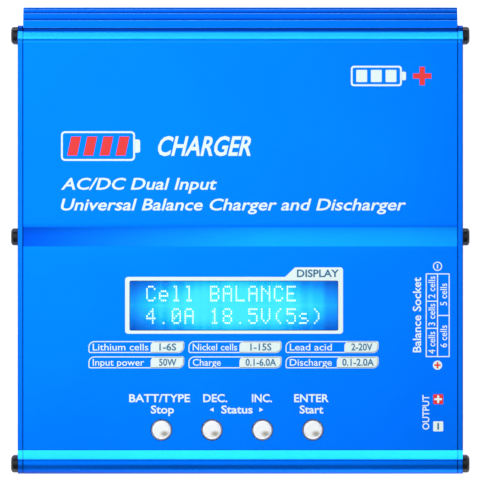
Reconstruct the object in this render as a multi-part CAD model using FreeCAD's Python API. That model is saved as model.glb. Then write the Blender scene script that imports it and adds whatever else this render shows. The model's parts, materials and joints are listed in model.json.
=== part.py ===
"""Balance battery charger for model aircraft and cars.

An extruded aluminium case lies on four rubber feet. The upper cover and the lower tray are two
extrusions of one length, closed by an end plate at each side. The left plate holds the mains inlet,
the fan grille and the low-voltage inlet, and the right plate holds the output jacks, the balance
sockets, two small signal ports and the exhaust slots. Inside are a supply board, a main board and a
control board that carries the display and four push keys.

Frame: +Z up, +X to the right, +Y to the rear, where the cooling fins are. The origin lies on the
floor under the middle of the whole charger. Units are millimetres.
"""

import FreeCAD
import Part
import math
import os

# ---------------------------------------------------------------- case
case_width = 135.4  # over the two end plates
case_depth = 142.0  # front face to the tip of the longest fin
case_height = 36.0  # floor to top face
foot_height = 1.5
plate_thickness = 1.6
cover_wall = 1.8
base_thickness = 2.0
heat_wall = 3.0  # rear wall of the tray, which the fins stand on
corner_radius = 3.0
front_edge_radius = 0.4  # between the top face and the front slope
rear_edge_radius = 2.0  # between the top face and the rear slope
ledge_drop = 3.2  # top face down to the ledges
front_ledge = 4.3
front_chamfer_run = 3.0
rear_ledge = 1.7
rear_chamfer_run = 2.6
rear_shoulder_radius = 1.6
parting_height = 17.0  # joint between cover and tray at the front
front_lip_height = 3.0
front_lip_thickness = 1.3
slide_gap = 0.15  # between parts that slide together
tongue_root = 0.5  # height of the tongue inside the cover's rear edge
groove_pad_margin = 1.0  # thickened cover beyond each side of the groove
fin_root = 0.5  # depth of a fin's foot inside the rear wall
plate_window_radii = {"sockets": 0.6, "data": 0.8, "probe": 0.5}

rib_from_front = 72.1  # middle screw channels and the shallow groove above them
groove_width = 8.5
groove_floor_width = 5.8
groove_depth = 0.8

fin_reach = 5.6  # longest fin, beyond the rear wall
fin_count = 8
fin_pitch = 3.7
fin_thickness = 1.5
fin_arc_radius = 22.5  # the fin tips lie on this arc
shadow_groove_width = 0.8  # open strip behind the cover's rear edge
shadow_groove_depth = 1.2
tongue_thickness = 0.8

past = 1.0  # how far a cutting tool runs past the face it opens
join = 0.5  # how far two shapes of one piece run into each other
round_end_margin = 0.01  # keeps a slot's round end just short of a half circle

# ---------------------------------------------------------------- fasteners
screw_head_radius = 2.65
screw_head_height = 2.05
screw_shank_radius = 1.4
screw_length = 9.0
screw_channel_clearance = 0.05
screw_hole_clearance = 0.2
channel_wall = 1.05
channel_slot = 1.4
recess_width = 0.9  # one bar of a cross recess
recess_length = 3.0
recess_depth = 1.2
recess_lift = 0.01  # start of a recess above the head's face
screw_head_edge_radius = 0.7

machine_screw_radius = 1.5
machine_screw_length = 6.0
machine_head_radius = 2.75
machine_head_height = 2.0
machine_hole_clearance = 0.1
thread_clearance = 0.03
flush_head_radius = 2.8
flush_head_height = 1.3
thread_floor = 1.0  # left in the rear wall under a transistor screw's blind hole

foot_radius = 5.0
foot_inset_x = 12.0
foot_inset_front = 13.0
foot_inset_rear = 13.0
foot_edge_radius = 0.6

# ---------------------------------------------------------------- display
display_x = -1.95
display_from_front = 51.2
window_opening = (63.5, 15.2)
window_corner_radius = 0.6
window_overlap = 2.5  # glued all round under the cover
window_thickness = 1.0
window_gap = 0.1
window_edge_radius = 1.0
lcd_stack_height = 8.0  # display board to the top of its bezel
lcd_board_size = (80.0, 36.0)
lcd_bezel_size = (71.3, 24.3)
lcd_bezel_wall = 0.5
lcd_view_size = (64.5, 16.0)
lcd_glass_thickness = 2.4
lcd_glass_margin = 0.15
lcd_hole_inset = 2.5
lcd_spacer_height = 4.5
lcd_header_from_edge = 2.5
lcd_header_inset = 8.0  # first pin from the display board's left edge
lcd_header_count = 16
lamp_length = 4.0  # lamp block at the right end of the light guide
lamp_slot = (1.0, 1.0)  # width and depth of the step beside it

# ---------------------------------------------------------------- keys
keys_from_front = 13.4
key_row_x = -0.95
key_pitch = 15.35
key_radius = 2.8
key_hole_clearance = 0.38
key_rise = 0.8  # dome above the top face
key_edge_radius = 0.75
key_flange_width = 1.2  # beyond the cap's side
key_flange_thickness = 1.2
key_flange_gap = 0.3
key_skirt_step = 0.45  # inside the cap's side
key_skirt_length = 3.2
key_travel = 0.3
switch_size = 6.0
switch_height = 3.5
switch_floor = 0.8
switch_roof = 0.6
switch_wall = 0.8
stem_radius = 1.75
stem_foot_radius = 1.95
stem_foot_height = 0.6
stem_top_above_board = 12.3
stem_fit = 0.03
stem_hole_clearance = 0.1
stem_rest_gap = 0.4  # under the stem's foot with the key fully down

# ---------------------------------------------------------------- boards
board_thickness = 1.6
main_standoff_height = 5.0
board_edge_gap = 0.6
board_front_gap = 5.0
board_rear_gap = 2.0
standoff_flats = 5.5
pin_width = 0.64
pin_pitch = 2.54
pin_tail = 1.2
pin_hole_clearance = 0.05
header_width = 2.5
control_board_side_gap = 1.2
control_board_front_gap = 6.5
control_board_rear_gap = 0.8
control_screw_inset = 3.0
supply_board_width = 54.5
supply_board_tail_gap = 4.4  # from the inlet's tails
supply_screw_inset = 3.5
rear_split_gap = 4.5  # supply board to the main board's rear part
supply_rear_screw_inset = 5.5
main_rear_hole_inset = 10.5
rib_board_gap = 5.4
board_corner_radius = 1.0
standoff_stud = 3.0  # below the board, into the spacer under it
standoff_web = 1.0  # closed end of a threaded hole above a stud
link_header_inset = (10.0, 20.0)  # from the control board's left and front edges
link_header_count = 12

# ---------------------------------------------------------------- sockets
socket_pitch = 2.5
socket_end_allowance = 4.8  # housing length beyond the first and last pin
socket_height = 5.7
socket_depth = 6.9
socket_wall = 0.75
socket_floor = 1.7
socket_gap = 0.2
socket_face_recess = 0.1
socket_pin_recess = 1.4
socket_key_width = 1.1
socket_key_depth = 4.2
socket_key_inset = 0.4  # middle of a key slot inside the outer pin
sensor_pin_start = 0.2  # inside the port's back face
balance_board_side_margin = 1.0
balance_board_top_margin = 2.5
window_clearance = 0.25

jack_from_front = 12.4
jack_spacing = 12.0
jack_bore_radius = 2.02  # takes a 4 mm plug
jack_bore_length = 16.0
jack_sleeve_radius = 3.0
jack_nose_radius = 4.0
jack_block_width = 10.4
jack_block_length = 16.0
jack_lead_in = 1.1
jack_block_radius = 1.0
jack_tail_inset = 2.5
jack_tail_width = 2.0
jack_mouth_clearance = 0.38
nose_clearance = 0.15

usb_from_rib = 9.0
usb_size = (7.5, 2.7)
usb_depth = 5.6
usb_wall = 0.3
usb_tongue = (4.6, 0.7)
usb_tongue_recess = 1.0
usb_corner_radius = 0.6
sensor_from_rib = 21.0
sensor_pin_count = 3

inlet_from_rear_wall = 28.4
inlet_nose = (27.0, 19.8)
inlet_chamfer = 5.0
inlet_corner_radii = (1.0, 0.8)  # lower corners, and the corners of the chamfers
inlet_flange_radius = 4.0
inlet_cavity = (24.0, 15.9)
inlet_cavity_chamfer = 4.2
inlet_cavity_depth = 16.5
inlet_back_wall = 2.5
inlet_flange = (49.0, 22.5, 3.0)
inlet_screw_spacing = 40.0
inlet_blade = (2.0, 4.0)  # width and height of one blade
inlet_blade_spacing = 14.0
inlet_blade_offset = 2.0  # live and neutral below the middle, earth above it
inlet_blade_recess = 5.0
inlet_earth_recess = 4.4
inlet_tail = 4.0

dc_jack_from_front = 21.0
dc_jack_size = (14.0, 9.0, 11.0)
dc_jack_axis_height = 6.0  # above the main board
dc_jack_nose_radius = 4.0
dc_jack_bore_radius = 3.15
dc_jack_bore_depth = 10.0
dc_jack_pin_radius = 1.25
dc_jack_pin_recess = 1.0
dc_jack_pin_root = 3.0  # length held in the block
dc_jack_pin_edge_radius = 0.4

# ---------------------------------------------------------------- fan and air slots
fan_size = 30.0
fan_depth = 10.0
fan_from_front = 51.0
fan_bore_radius = 14.2
fan_hole_spacing = 24.0
fan_corner_radius = 2.5
fan_base_thickness = 1.4
fan_strut_width = 2.0
fan_tube_radius = 2.6
fan_tube_length = 6.0
fan_shaft_radius = 1.0
fan_running_gap = 0.04
fan_hub_radius = 7.6
fan_hub_wall = 0.9
fan_hub_depth = 7.2
fan_tip_gap = 0.6
fan_blade_count = 7
fan_blade_thickness = 0.9
fan_blade_chord = 8.6
fan_blade_angle = 38.0
fan_front_gap = 0.7
fan_stator_gap = 0.7
fan_tube_wall = 0.7
fan_strut_root = 0.4  # length of a strut inside the frame
fan_stator_start = 1.6  # from the open end of the bearing tube
fan_stator_length = 3.6
fan_stator_slot_width = 1.4
fan_stator_slot_floor = 1.2  # ring left inside each slot
fan_stator_slot_count = 4
fan_boss_step = 1.2  # boss smaller than the bearing tube
fan_boss_rise = 0.3
fan_shaft_start = 0.4  # inside the hub's face
fan_shaft_end_gap = 0.3
fan_screw_length = 8.0
grille_radius = 13.2
grille_slot_count = 7
grille_slot_height = 2.0
grille_slot_pitch = 3.7
exhaust_slot_count = 7
exhaust_slot_width = 2.0
exhaust_slot_length = 17.0
exhaust_slot_pitch = 4.0
exhaust_from_rear_wall = 18.0

# ---------------------------------------------------------------- board parts
transistor_body = (10.0, 3.2, 9.2)
transistor_tab = (10.0, 1.3, 15.4)
transistor_lead_width = 0.8
transistor_lead_pitch = 2.54
transistor_pad_thickness = 0.3
transistor_hole_drop = 2.8  # below the top of the tab
transistor_channel_gap = 0.3  # below the upper screw channel
transistor_edge_gap = 1.0  # from the board's right edge
charge_transistor_count = 4
charge_transistor_pitch = 11.0
supply_transistor_count = 2
supply_transistor_pitch = 18.0
toroid_height = 9.0
toroid_outer_radius = 9.0
toroid_inner_radius = 4.6
winding_thickness = 1.4
winding_sweep = 320.0
winding_edge_radius = 0.9
toroid_gap = 0.8
toroid_inset = 4.5  # clears the corner screw of the supply board
transformer_core_size = (25.0, 12.6, 20.0)
transformer_leg_width = 6.5
transformer_yoke = 3.4
transformer_side_leg = 3.2
transformer_winding_depth = 19.0
transformer_lift = 1.5
transformer_edge_gap = 1.0
transformer_winding_gaps = (0.3, 0.2)  # beside the side legs, and under and over the yokes
transformer_winding_radius = 2.5
bulk_capacitor = (8.5, 20.0)  # radius and height
small_capacitor = (5.0, 16.0)
charge_can_count = 3
supply_can_count = 2
capacitor_gap = 0.8
capacitor_edge_radius = 0.6
capacitor_groove_radius = 0.7  # of the rolled groove's round section
capacitor_groove_offset = 0.3  # its middle outside the can
capacitor_groove_height = 2.4
capacitor_inset = 14.0
bulk_inset = 6.0  # clears the mains wires
fuse_radius = 2.6
fuse_length = 20.0
fuse_cap = 5.0
fuse_inset = 5.0
fuse_cap_step = 0.3  # caps thicker than the glass
buzzer_radius = 6.0
buzzer_height = 6.5
buzzer_edge_gap = 1.5
buzzer_behind_keys = 9.0
buzzer_hole = (1.0, 1.5)  # radius and depth
processor_size = (10.0, 10.0, 1.4)
processor_place = (8.0, 10.5)  # along X, and behind the keys
driver_size = (10.0, 6.0, 1.8)
driver_places_x = (-10.0, 8.0, 26.0)
gate_chip_size = (6.0, 5.0, 1.6)
gate_chip_places_x = (-10.0, 8.0)
gate_chip_behind_drivers = 10.0
wire_radius = 1.0
wire_run = 7.0
wire_bend_share = 0.45  # of the shorter straight beside the bend

# ---------------------------------------------------------------- places worked out from the sizes
X_AXIS = FreeCAD.Vector(1, 0, 0)
Y_AXIS = FreeCAD.Vector(0, 1, 0)
Z_AXIS = FreeCAD.Vector(0, 0, 1)

body_length = case_width - 2 * plate_thickness
x_left = -body_length / 2
x_right = body_length / 2
x_plate_left = -case_width / 2
x_plate_right = case_width / 2
y_front = -case_depth / 2
y_rear = case_depth / 2 - fin_reach
y_wall = y_rear - heat_wall
y_rib = y_front + rib_from_front
z_bottom = foot_height
z_floor = z_bottom + base_thickness
z_top = case_height
z_ledge = z_top - ledge_drop
z_ceiling = z_top - cover_wall
z_middle = (z_floor + z_ceiling) / 2
z_screw_low = z_bottom + corner_radius
z_screw_high = z_ledge - corner_radius
screw_places_y = (y_front + corner_radius, y_rib, y_rear - corner_radius)
channel_bore_radius = screw_shank_radius + screw_channel_clearance
channel_radius = channel_bore_radius + channel_wall
machine_hole_radius = machine_screw_radius + machine_hole_clearance
thread_radius = machine_screw_radius + thread_clearance
pin_hole_radius = pin_width / math.sqrt(2) + pin_hole_clearance
key_flange_radius = key_radius + key_flange_width
key_skirt_radius = key_radius - key_skirt_step
fan_tip_radius = fan_bore_radius - fan_tip_gap
fan_bearing_radius = fan_tube_radius - fan_tube_wall
plate_cut = plate_thickness + 2 * past
fan_stator_radius = fan_hub_radius - fan_hub_wall - fan_stator_gap

y_display = y_front + display_from_front
y_keys = y_front + keys_from_front
z_bezel_top = z_ceiling - window_thickness - window_gap
z_lcd_top = z_bezel_top - lcd_stack_height
z_lcd_board = z_lcd_top - board_thickness
z_control_top = z_lcd_board - lcd_spacer_height
z_control = z_control_top - board_thickness
z_main = z_floor + main_standoff_height
z_main_top = z_main + board_thickness
key_places_x = [key_row_x + key_pitch * (i - 1.5) for i in range(4)]

y_control = (y_front + control_board_front_gap, y_rib - channel_radius - control_board_rear_gap)
y_supply = (y_rib + rib_board_gap, y_wall - board_rear_gap)
y_jacks = [y_front + jack_from_front, y_front + jack_from_front + jack_spacing]
y_sockets = y_jacks[1] + jack_block_width / 2 + socket_gap
y_fan = y_front + fan_from_front
y_dc_jack = y_front + dc_jack_from_front
y_inlet = y_wall - inlet_from_rear_wall
transistor_reach = transistor_pad_thickness + transistor_tab[1] + transistor_body[1]
y_usb = y_rib + usb_from_rib
y_sensor = y_rib + sensor_from_rib
y_exhaust = y_wall - exhaust_from_rear_wall
z_dc_jack = z_main_top + dc_jack_axis_height
z_tab_top = z_screw_high - channel_radius - transistor_channel_gap
z_tab = z_tab_top - transistor_tab[2]
control_board_x = (
    x_left + slide_gap + dc_jack_size[0] + control_board_side_gap,
    x_right - slide_gap - jack_block_length - control_board_side_gap,
)

inlet_tail_end = x_plate_left + socket_face_recess + inlet_cavity_depth + inlet_back_wall + inlet_tail
supply_left = inlet_tail_end + supply_board_tail_gap
supply_board_x = (supply_left, supply_left + supply_board_width)
rear_split_x = supply_board_x[1] + rear_split_gap

lcd_holes = [
    (
        display_x + sx * (lcd_board_size[0] / 2 - lcd_hole_inset),
        y_display + sy * (lcd_board_size[1] / 2 - lcd_hole_inset),
    )
    for sx in (-1, 1)
    for sy in (-1, 1)
]
control_holes = [
    (x, y)
    for x in (control_board_x[0] + control_screw_inset, control_board_x[1] - control_screw_inset)
    for y in (y_control[0] + control_screw_inset, y_control[1] - control_screw_inset)
]
supply_holes = [
    (x, y)
    for x in (supply_board_x[0] + supply_screw_inset, supply_board_x[1] - supply_screw_inset)
    for y in (y_supply[0] + supply_screw_inset, y_supply[1] - supply_rear_screw_inset)
]
main_free_holes = [
    (rear_split_x + supply_screw_inset, y_supply[0] + supply_screw_inset),
    (x_right - board_edge_gap - supply_screw_inset, y_supply[1] - main_rear_hole_inset),
]
lcd_header_start = (
    display_x - lcd_board_size[0] / 2 + lcd_header_inset,
    y_display + lcd_board_size[1] / 2 - lcd_header_from_edge,
)
link_header_start = (
    control_board_x[0] + link_header_inset[0],
    y_control[0] + link_header_inset[1],
)

# The balance sockets of each row, from front to rear, by the number of cells they serve.
socket_rows = {"upper": (4, 3, 2), "lower": (6, 5)}
socket_row_z = {
    "upper": z_middle + (socket_height + socket_gap) / 2,
    "lower": z_middle - (socket_height + socket_gap) / 2,
}


# ---------------------------------------------------------------- helpers
def vec(x, y, z):
    return FreeCAD.Vector(x, y, z)


def block(x, y, z):
    """Box between a low and a high value on each axis."""
    return Part.makeBox(x[1] - x[0], y[1] - y[0], z[1] - z[0], vec(x[0], y[0], z[0]))


def around(middle, width):
    """Low and high value of a width set evenly about a middle."""
    return (middle - width / 2, middle + width / 2)


def rod(start, radius, length, axis=X_AXIS):
    return Part.makeCylinder(radius, length, start, axis)


def fuse_all(shapes):
    joined = shapes[0].fuse(shapes[1:]) if len(shapes) > 1 else shapes[0]
    return joined.removeSplitter()


def cut_all(shape, tools):
    return shape.cut(Part.makeCompound(tools))


def edges_along(shape, axis):
    """Straight edges that run along an axis."""
    straight = [e for e in shape.Edges if e.Curve.TypeId == "Part::GeomLine"]
    return [e for e in straight if abs(abs(e.tangentAt(e.FirstParameter).dot(axis)) - 1) < 1e-6]


def rounded_block(x, y, z, radius, axis=Z_AXIS):
    solid = block(x, y, z)
    return solid.makeFillet(radius, edges_along(solid, axis))


def corner_arc(before, corner, after, radius):
    """Start, middle and end of the arc that rounds one corner of an outline."""
    back = (before - corner).normalize()
    ahead = (after - corner).normalize()
    half_angle = back.getAngle(ahead) / 2
    reach = radius / math.tan(half_angle)
    inward = (back + ahead).normalize()
    middle = corner + inward * (radius / math.sin(half_angle) - radius)
    return corner + back * reach, middle, corner + ahead * reach


def outline_face(corners):
    """Flat face inside a closed outline of (point, radius) corners."""
    rounded = []
    for i, (point, radius) in enumerate(corners):
        before = corners[i - 1][0]
        after = corners[(i + 1) % len(corners)][0]
        arc = corner_arc(before, point, after, radius) if radius > 0 else (point, None, point)
        rounded.append(arc)
    edges = []
    for i, (start, middle, end) in enumerate(rounded):
        last_end = rounded[i - 1][2]
        if last_end.distanceToPoint(start) > 1e-6:
            edges.append(Part.makeLine(last_end, start))
        if middle is not None:
            edges.append(Part.Arc(start, middle, end).toShape())
    return Part.Face(Part.Wire(edges))


def side_prism(x, corners):
    """Prism along X between two places, from an outline of (y, z, radius) corners."""
    face = outline_face([(vec(x[0], y, z), radius) for y, z, radius in corners])
    return face.extrude(vec(x[1] - x[0], 0, 0))


def plan_prism(z, corners):
    """Upright prism between two heights, from an outline of (x, y, radius) corners."""
    face = outline_face([(vec(x, y, z[0]), radius) for x, y, radius in corners])
    return face.extrude(vec(0, 0, z[1] - z[0]))


def hexagon(x, y, z, flats):
    """Upright hexagonal prism between two heights."""
    radius = flats / math.sqrt(3)
    angles = [math.radians(60 * i) for i in range(6)]
    corners = [(x + radius * math.cos(a), y + radius * math.sin(a), 0) for a in angles]
    return plan_prism(z, corners)


def cross_recess(middle, axis, across):
    """Two crossed bars that cut the recess of a screw head, going in along the axis."""
    other = axis.cross(across)
    bars = []
    for way, side in ((across, other), (other, across)):
        corner = middle - way * (recess_length / 2) - side * (recess_width / 2)
        face = Part.makePolygon(
            [
                corner,
                corner + way * recess_length,
                corner + way * recess_length + side * recess_width,
                corner + side * recess_width,
                corner,
            ]
        )
        bars.append(Part.Face(face).extrude(axis * recess_depth))
    return bars


def export(name, shapes):
    """Writes one node from one or more separate solids."""
    shapes = shapes if isinstance(shapes, list) else [shapes]
    solids = [solid for shape in shapes for solid in shape.Solids]
    for solid in solids:
        if not solid.isValid() or solid.Volume <= 0:
            raise ValueError(name + " holds a solid that is not valid")
    whole = solids[0] if len(solids) == 1 else Part.makeCompound(solids)
    whole.exportStep(os.path.join("parts", name + ".step"))


# ---------------------------------------------------------------- case
def case_corners():
    """Outline of the case without its fins, as the end plates show it."""
    top_front = y_front + front_ledge + front_chamfer_run
    top_rear = y_rear - rear_ledge - rear_chamfer_run
    return [
        (y_front, z_bottom, corner_radius),
        (y_rear, z_bottom, corner_radius),
        (y_rear, z_ledge, rear_shoulder_radius),
        (y_rear - rear_ledge, z_ledge, 0),
        (top_rear, z_top, rear_edge_radius),
        (top_front, z_top, front_edge_radius),
        (y_front + front_ledge, z_ledge, 0),
        (y_front, z_ledge, corner_radius),
    ]


def case_ring():
    """The case wall all round, before it is parted into cover and tray."""
    outer = outline_face([(vec(x_left, y, z), r) for y, z, r in case_corners()])
    inner = outer.makeOffset2D(-cover_wall)
    return outer.cut(inner).extrude(vec(body_length, 0, 0))


def channel(y, z, slot_y, slot_z):
    """A screw channel along the case: its wall, and the bore and slot that open it."""
    wall = rod(vec(x_left, y, z), channel_radius, body_length)
    bore = rod(vec(x_left, y, z), channel_bore_radius, body_length)
    reach = channel_radius + past / 2
    slot_height = (z, z + slot_z * reach) if slot_z > 0 else (z + slot_z * reach, z)
    slot_depth = (y, y + slot_y * reach) if slot_y > 0 else (y + slot_y * reach, y)
    if slot_y:
        slot = block((x_left, x_right), slot_depth, around(z, channel_slot))
    else:
        slot = block((x_left, x_right), around(y, channel_slot), slot_height)
    return wall, [bore, slot]


def upper_cover():
    """Extruded cover: top face, front wall and the two sloping edges, with two screw channels."""
    along = (x_left, x_right)
    above_front = block(along, (y_front, 0), (parting_height, z_top))
    above_rear = block(along, (0, y_rear), (z_ledge, z_top))
    walls = case_ring().common(above_front.fuse(above_rear))

    rear_edge = y_rear - rear_ledge
    tongue = block(
        along,
        (rear_edge - tongue_thickness, rear_edge),
        (z_ledge - shadow_groove_depth + slide_gap, z_ledge + tongue_root),
    )
    pad_width = groove_width + 2 * groove_pad_margin
    pad = block(along, around(y_rib, pad_width), (z_ceiling - groove_depth, z_ceiling))
    web = block(along, around(y_rib, channel_radius), (z_screw_high, z_ceiling))
    middle_wall, middle_cut = channel(y_rib, z_screw_high, 0, -1)
    front_wall, front_cut = channel(screw_places_y[0], z_screw_high, 1, 0)
    cover = fuse_all([walls, tongue, pad, web, middle_wall, front_wall])

    groove = side_prism(
        along,
        [
            (y_rib - groove_width / 2, z_top, 0),
            (y_rib - groove_floor_width / 2, z_top - groove_depth, 0),
            (y_rib + groove_floor_width / 2, z_top - groove_depth, 0),
            (y_rib + groove_width / 2, z_top, 0),
        ],
    )
    opening = rounded_block(
        around(display_x, window_opening[0]),
        around(y_display, window_opening[1]),
        (z_ceiling - past, z_top + past),
        window_corner_radius,
    )
    key_holes = [
        rod(
            vec(x, y_keys, z_ceiling - past),
            key_radius + key_hole_clearance,
            cover_wall + 2 * past,
            Z_AXIS,
        )
        for x in key_places_x
    ]
    return cut_all(cover, [groove, opening] + middle_cut + front_cut + key_holes)


def fin_tip(z):
    """How far to the rear a fin reaches at one height. The two middle fins are the longest."""
    arc_middle_z = z_ledge - (fin_count - 1) * fin_pitch / 2
    rise = z - arc_middle_z
    longest = math.sqrt(fin_arc_radius**2 - (fin_pitch / 2) ** 2)
    return case_depth / 2 - longest + math.sqrt(fin_arc_radius**2 - rise**2)


def lower_tray():
    """Extruded tray: base, front wall with a locating lip, and the finned rear wall."""
    along = (x_left, x_right)
    below_front = block(along, (y_front, 0), (z_bottom, parting_height))
    below_rear = block(along, (0, y_rear), (z_bottom, z_ledge))
    walls = case_ring().common(below_front.fuse(below_rear))
    base = block(
        along, (y_front + corner_radius, y_rear - corner_radius), (z_bottom, z_floor)
    )
    rear_wall = block(along, (y_wall, y_rear), (z_screw_low, z_ledge))
    lip_front = y_front + cover_wall
    lip_low = block(
        along,
        (lip_front, lip_front + slide_gap + front_lip_thickness),
        (parting_height - front_lip_height, parting_height),
    )
    lip_high = block(
        along,
        (lip_front + slide_gap, lip_front + slide_gap + front_lip_thickness),
        (parting_height, parting_height + front_lip_height),
    )
    fins = []
    for i in range(fin_count):
        fin_top = z_ledge - i * fin_pitch
        fin = block(along, (y_rear - fin_root, fin_tip(fin_top)), (fin_top - fin_thickness, fin_top))
        fins.append(fin)

    channels = [
        channel(screw_places_y[0], z_screw_low, 1, 0),
        channel(y_rib, z_screw_low, 0, 1),
        channel(screw_places_y[2], z_screw_low, -1, 0),
        channel(screw_places_y[2], z_screw_high, -1, 0),
    ]
    solids = [walls, base, rear_wall, lip_low, lip_high] + fins + [wall for wall, _ in channels]
    tray = fuse_all(solids)
    rear_edge = y_rear - rear_ledge
    shadow_groove = block(
        along,
        (rear_edge - tongue_thickness - slide_gap, rear_edge + shadow_groove_width),
        (z_ledge - shadow_groove_depth, z_ledge + past),
    )
    threads = [
        rod(vec(x, y_wall - past, z), thread_radius, past + heat_wall - thread_floor, Y_AXIS)
        for x, z in transistor_screws()
    ]
    cuts = [tool for _, tools in channels for tool in tools]
    return cut_all(tray, cuts + [shadow_groove] + threads)


def plate_blank(x):
    """End plate with its six screw holes."""
    plate = side_prism(x, case_corners())
    holes = [
        rod(vec(x[0] - past, y, z), screw_shank_radius + screw_hole_clearance, plate_cut)
        for y in screw_places_y
        for z in (z_screw_low, z_screw_high)
    ]
    return plate.cut(Part.makeCompound(holes))


def flush_screw_hole(y, z):
    """Countersunk hole in the left plate, which the screw's head fills."""
    seat = vec(x_plate_left, y, z)
    hole = rod(seat, machine_hole_radius, plate_thickness + past)
    sink = Part.makeCone(flush_head_radius, machine_screw_radius, flush_head_height, seat, X_AXIS)
    return hole.fuse(sink)


def fan_holes():
    half = fan_hole_spacing / 2
    return [(y_fan + sy * half, z_middle + sz * half) for sy in (-1, 1) for sz in (-1, 1)]


def inlet_holes():
    return [(y_inlet + side * inlet_screw_spacing / 2, z_middle) for side in (-1, 1)]


def grille_slots():
    """Level slots that fill a circle in front of the fan."""
    slots = []
    for i in range(grille_slot_count):
        rise = (i - (grille_slot_count - 1) / 2) * grille_slot_pitch
        half = math.sqrt(grille_radius**2 - rise**2)
        slot = rounded_block(
            (x_plate_left - past, x_left + past),
            around(y_fan, 2 * half),
            around(z_middle + rise, grille_slot_height),
            grille_slot_height / 2 - round_end_margin,
            X_AXIS,
        )
        slots.append(slot)
    return slots


def inlet_corners(size, chamfer, margin=0.0):
    """Outline of the mains inlet, with its two upper corners cut off."""
    half_y = size[0] / 2 + margin
    half_z = size[1] / 2 + margin
    low_radius, high_radius = inlet_corner_radii
    return [
        (y_inlet - half_y, z_middle - half_z, low_radius),
        (y_inlet + half_y, z_middle - half_z, low_radius),
        (y_inlet + half_y, z_middle + half_z - chamfer, high_radius),
        (y_inlet + half_y - chamfer, z_middle + half_z, high_radius),
        (y_inlet - half_y + chamfer, z_middle + half_z, high_radius),
        (y_inlet - half_y, z_middle + half_z - chamfer, high_radius),
    ]


def left_end_plate():
    """Plate with the inlet window, the fan grille and the low-voltage inlet."""
    through = (x_plate_left - past, x_left + past)
    inlet_window = side_prism(through, inlet_corners(inlet_nose, inlet_chamfer, nose_clearance))
    jack_hole = rod(
        vec(through[0], y_dc_jack, z_dc_jack),
        dc_jack_nose_radius + nose_clearance,
        plate_cut,
    )
    flush_holes = [flush_screw_hole(y, z) for y, z in fan_holes() + inlet_holes()]
    cuts = [inlet_window, jack_hole] + flush_holes + grille_slots()
    return cut_all(plate_blank((x_plate_left, x_left)), cuts)


def socket_block_width():
    """Length of the longer row of balance sockets."""
    rows = []
    for cells in socket_rows.values():
        lengths = [socket_length(n) for n in cells]
        rows.append(sum(lengths) + socket_gap * (len(lengths) - 1))
    return max(rows)


def right_end_plate():
    """Plate with the jacks, the sockets, the two ports and the exhaust slots."""
    through = (x_right - past, x_plate_right + past)
    margin = window_clearance
    socket_window = rounded_block(
        through,
        (y_sockets - margin, y_sockets + socket_block_width() + margin),
        around(z_middle, 2 * socket_height + socket_gap + 2 * margin),
        plate_window_radii["sockets"],
        X_AXIS,
    )
    jack_holes = [
        rod(vec(through[0], y, z_middle), jack_nose_radius + nose_clearance, plate_cut)
        for y in y_jacks
    ]
    usb_window = rounded_block(
        through,
        around(y_usb, usb_size[0] + 2 * margin),
        around(z_main_top + usb_size[1] / 2, usb_size[1] + 2 * margin),
        plate_window_radii["data"],
        X_AXIS,
    )
    sensor_window = rounded_block(
        through,
        around(y_sensor, socket_length(sensor_pin_count - 1) + 2 * margin),
        around(z_main_top + socket_height / 2, socket_height + 2 * margin),
        plate_window_radii["probe"],
        X_AXIS,
    )
    exhaust = []
    for i in range(exhaust_slot_count):
        slot_y = y_exhaust + (i - (exhaust_slot_count - 1) / 2) * exhaust_slot_pitch
        across = around(slot_y, exhaust_slot_width)
        along = around(z_middle, exhaust_slot_length)
        radius = exhaust_slot_width / 2 - round_end_margin
        exhaust.append(rounded_block(through, across, along, radius, X_AXIS))
    cuts = [socket_window, usb_window, sensor_window] + jack_holes + exhaust
    return cut_all(plate_blank((x_right, x_plate_right)), cuts)


def end_plate_screws():
    """Pan head screws, six in each end plate, that run into the channels of the extrusions."""
    screws = []
    for side in (-1, 1):
        outward = X_AXIS * side
        plate_face = side * case_width / 2
        for y in screw_places_y:
            for z in (z_screw_low, z_screw_high):
                seat = vec(plate_face, y, z)
                head = Part.makeCylinder(screw_head_radius, screw_head_height, seat, outward)
                rim = [e for e in head.Edges if abs(e.CenterOfMass.x - seat.x) > screw_head_height / 2]
                rim = [e for e in rim if e.Closed and e.Length > screw_head_radius]
                head = head.makeFillet(screw_head_edge_radius, rim)
                shank = Part.makeCylinder(screw_shank_radius, screw_length, seat, outward * -1)
                recess_start = seat + outward * (screw_head_height + recess_lift)
                recess = cross_recess(recess_start, outward * -1, Y_AXIS)
                screws.append(head.fuse(shank).cut(Part.makeCompound(recess)))
    return screws


def rubber_feet():
    """Four glued feet with a rounded lower edge."""
    feet = []
    for side in (-1, 1):
        for y in (y_front + foot_inset_front, y_rear - foot_inset_rear):
            place = vec(side * (x_right - foot_inset_x), y, 0)
            foot = Part.makeCylinder(foot_radius, foot_height, place)
            lower = [e for e in foot.Edges if e.Closed and abs(e.CenterOfMass.z) < 1e-6]
            feet.append(foot.makeFillet(foot_edge_radius, lower))
    return feet


# ---------------------------------------------------------------- display
def display_window():
    """Clear plate glued under the opening in the cover."""
    return rounded_block(
        around(display_x, window_opening[0] + 2 * window_overlap),
        around(y_display, window_opening[1] + 2 * window_overlap),
        (z_ceiling - window_thickness, z_ceiling),
        window_edge_radius,
    )


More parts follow.
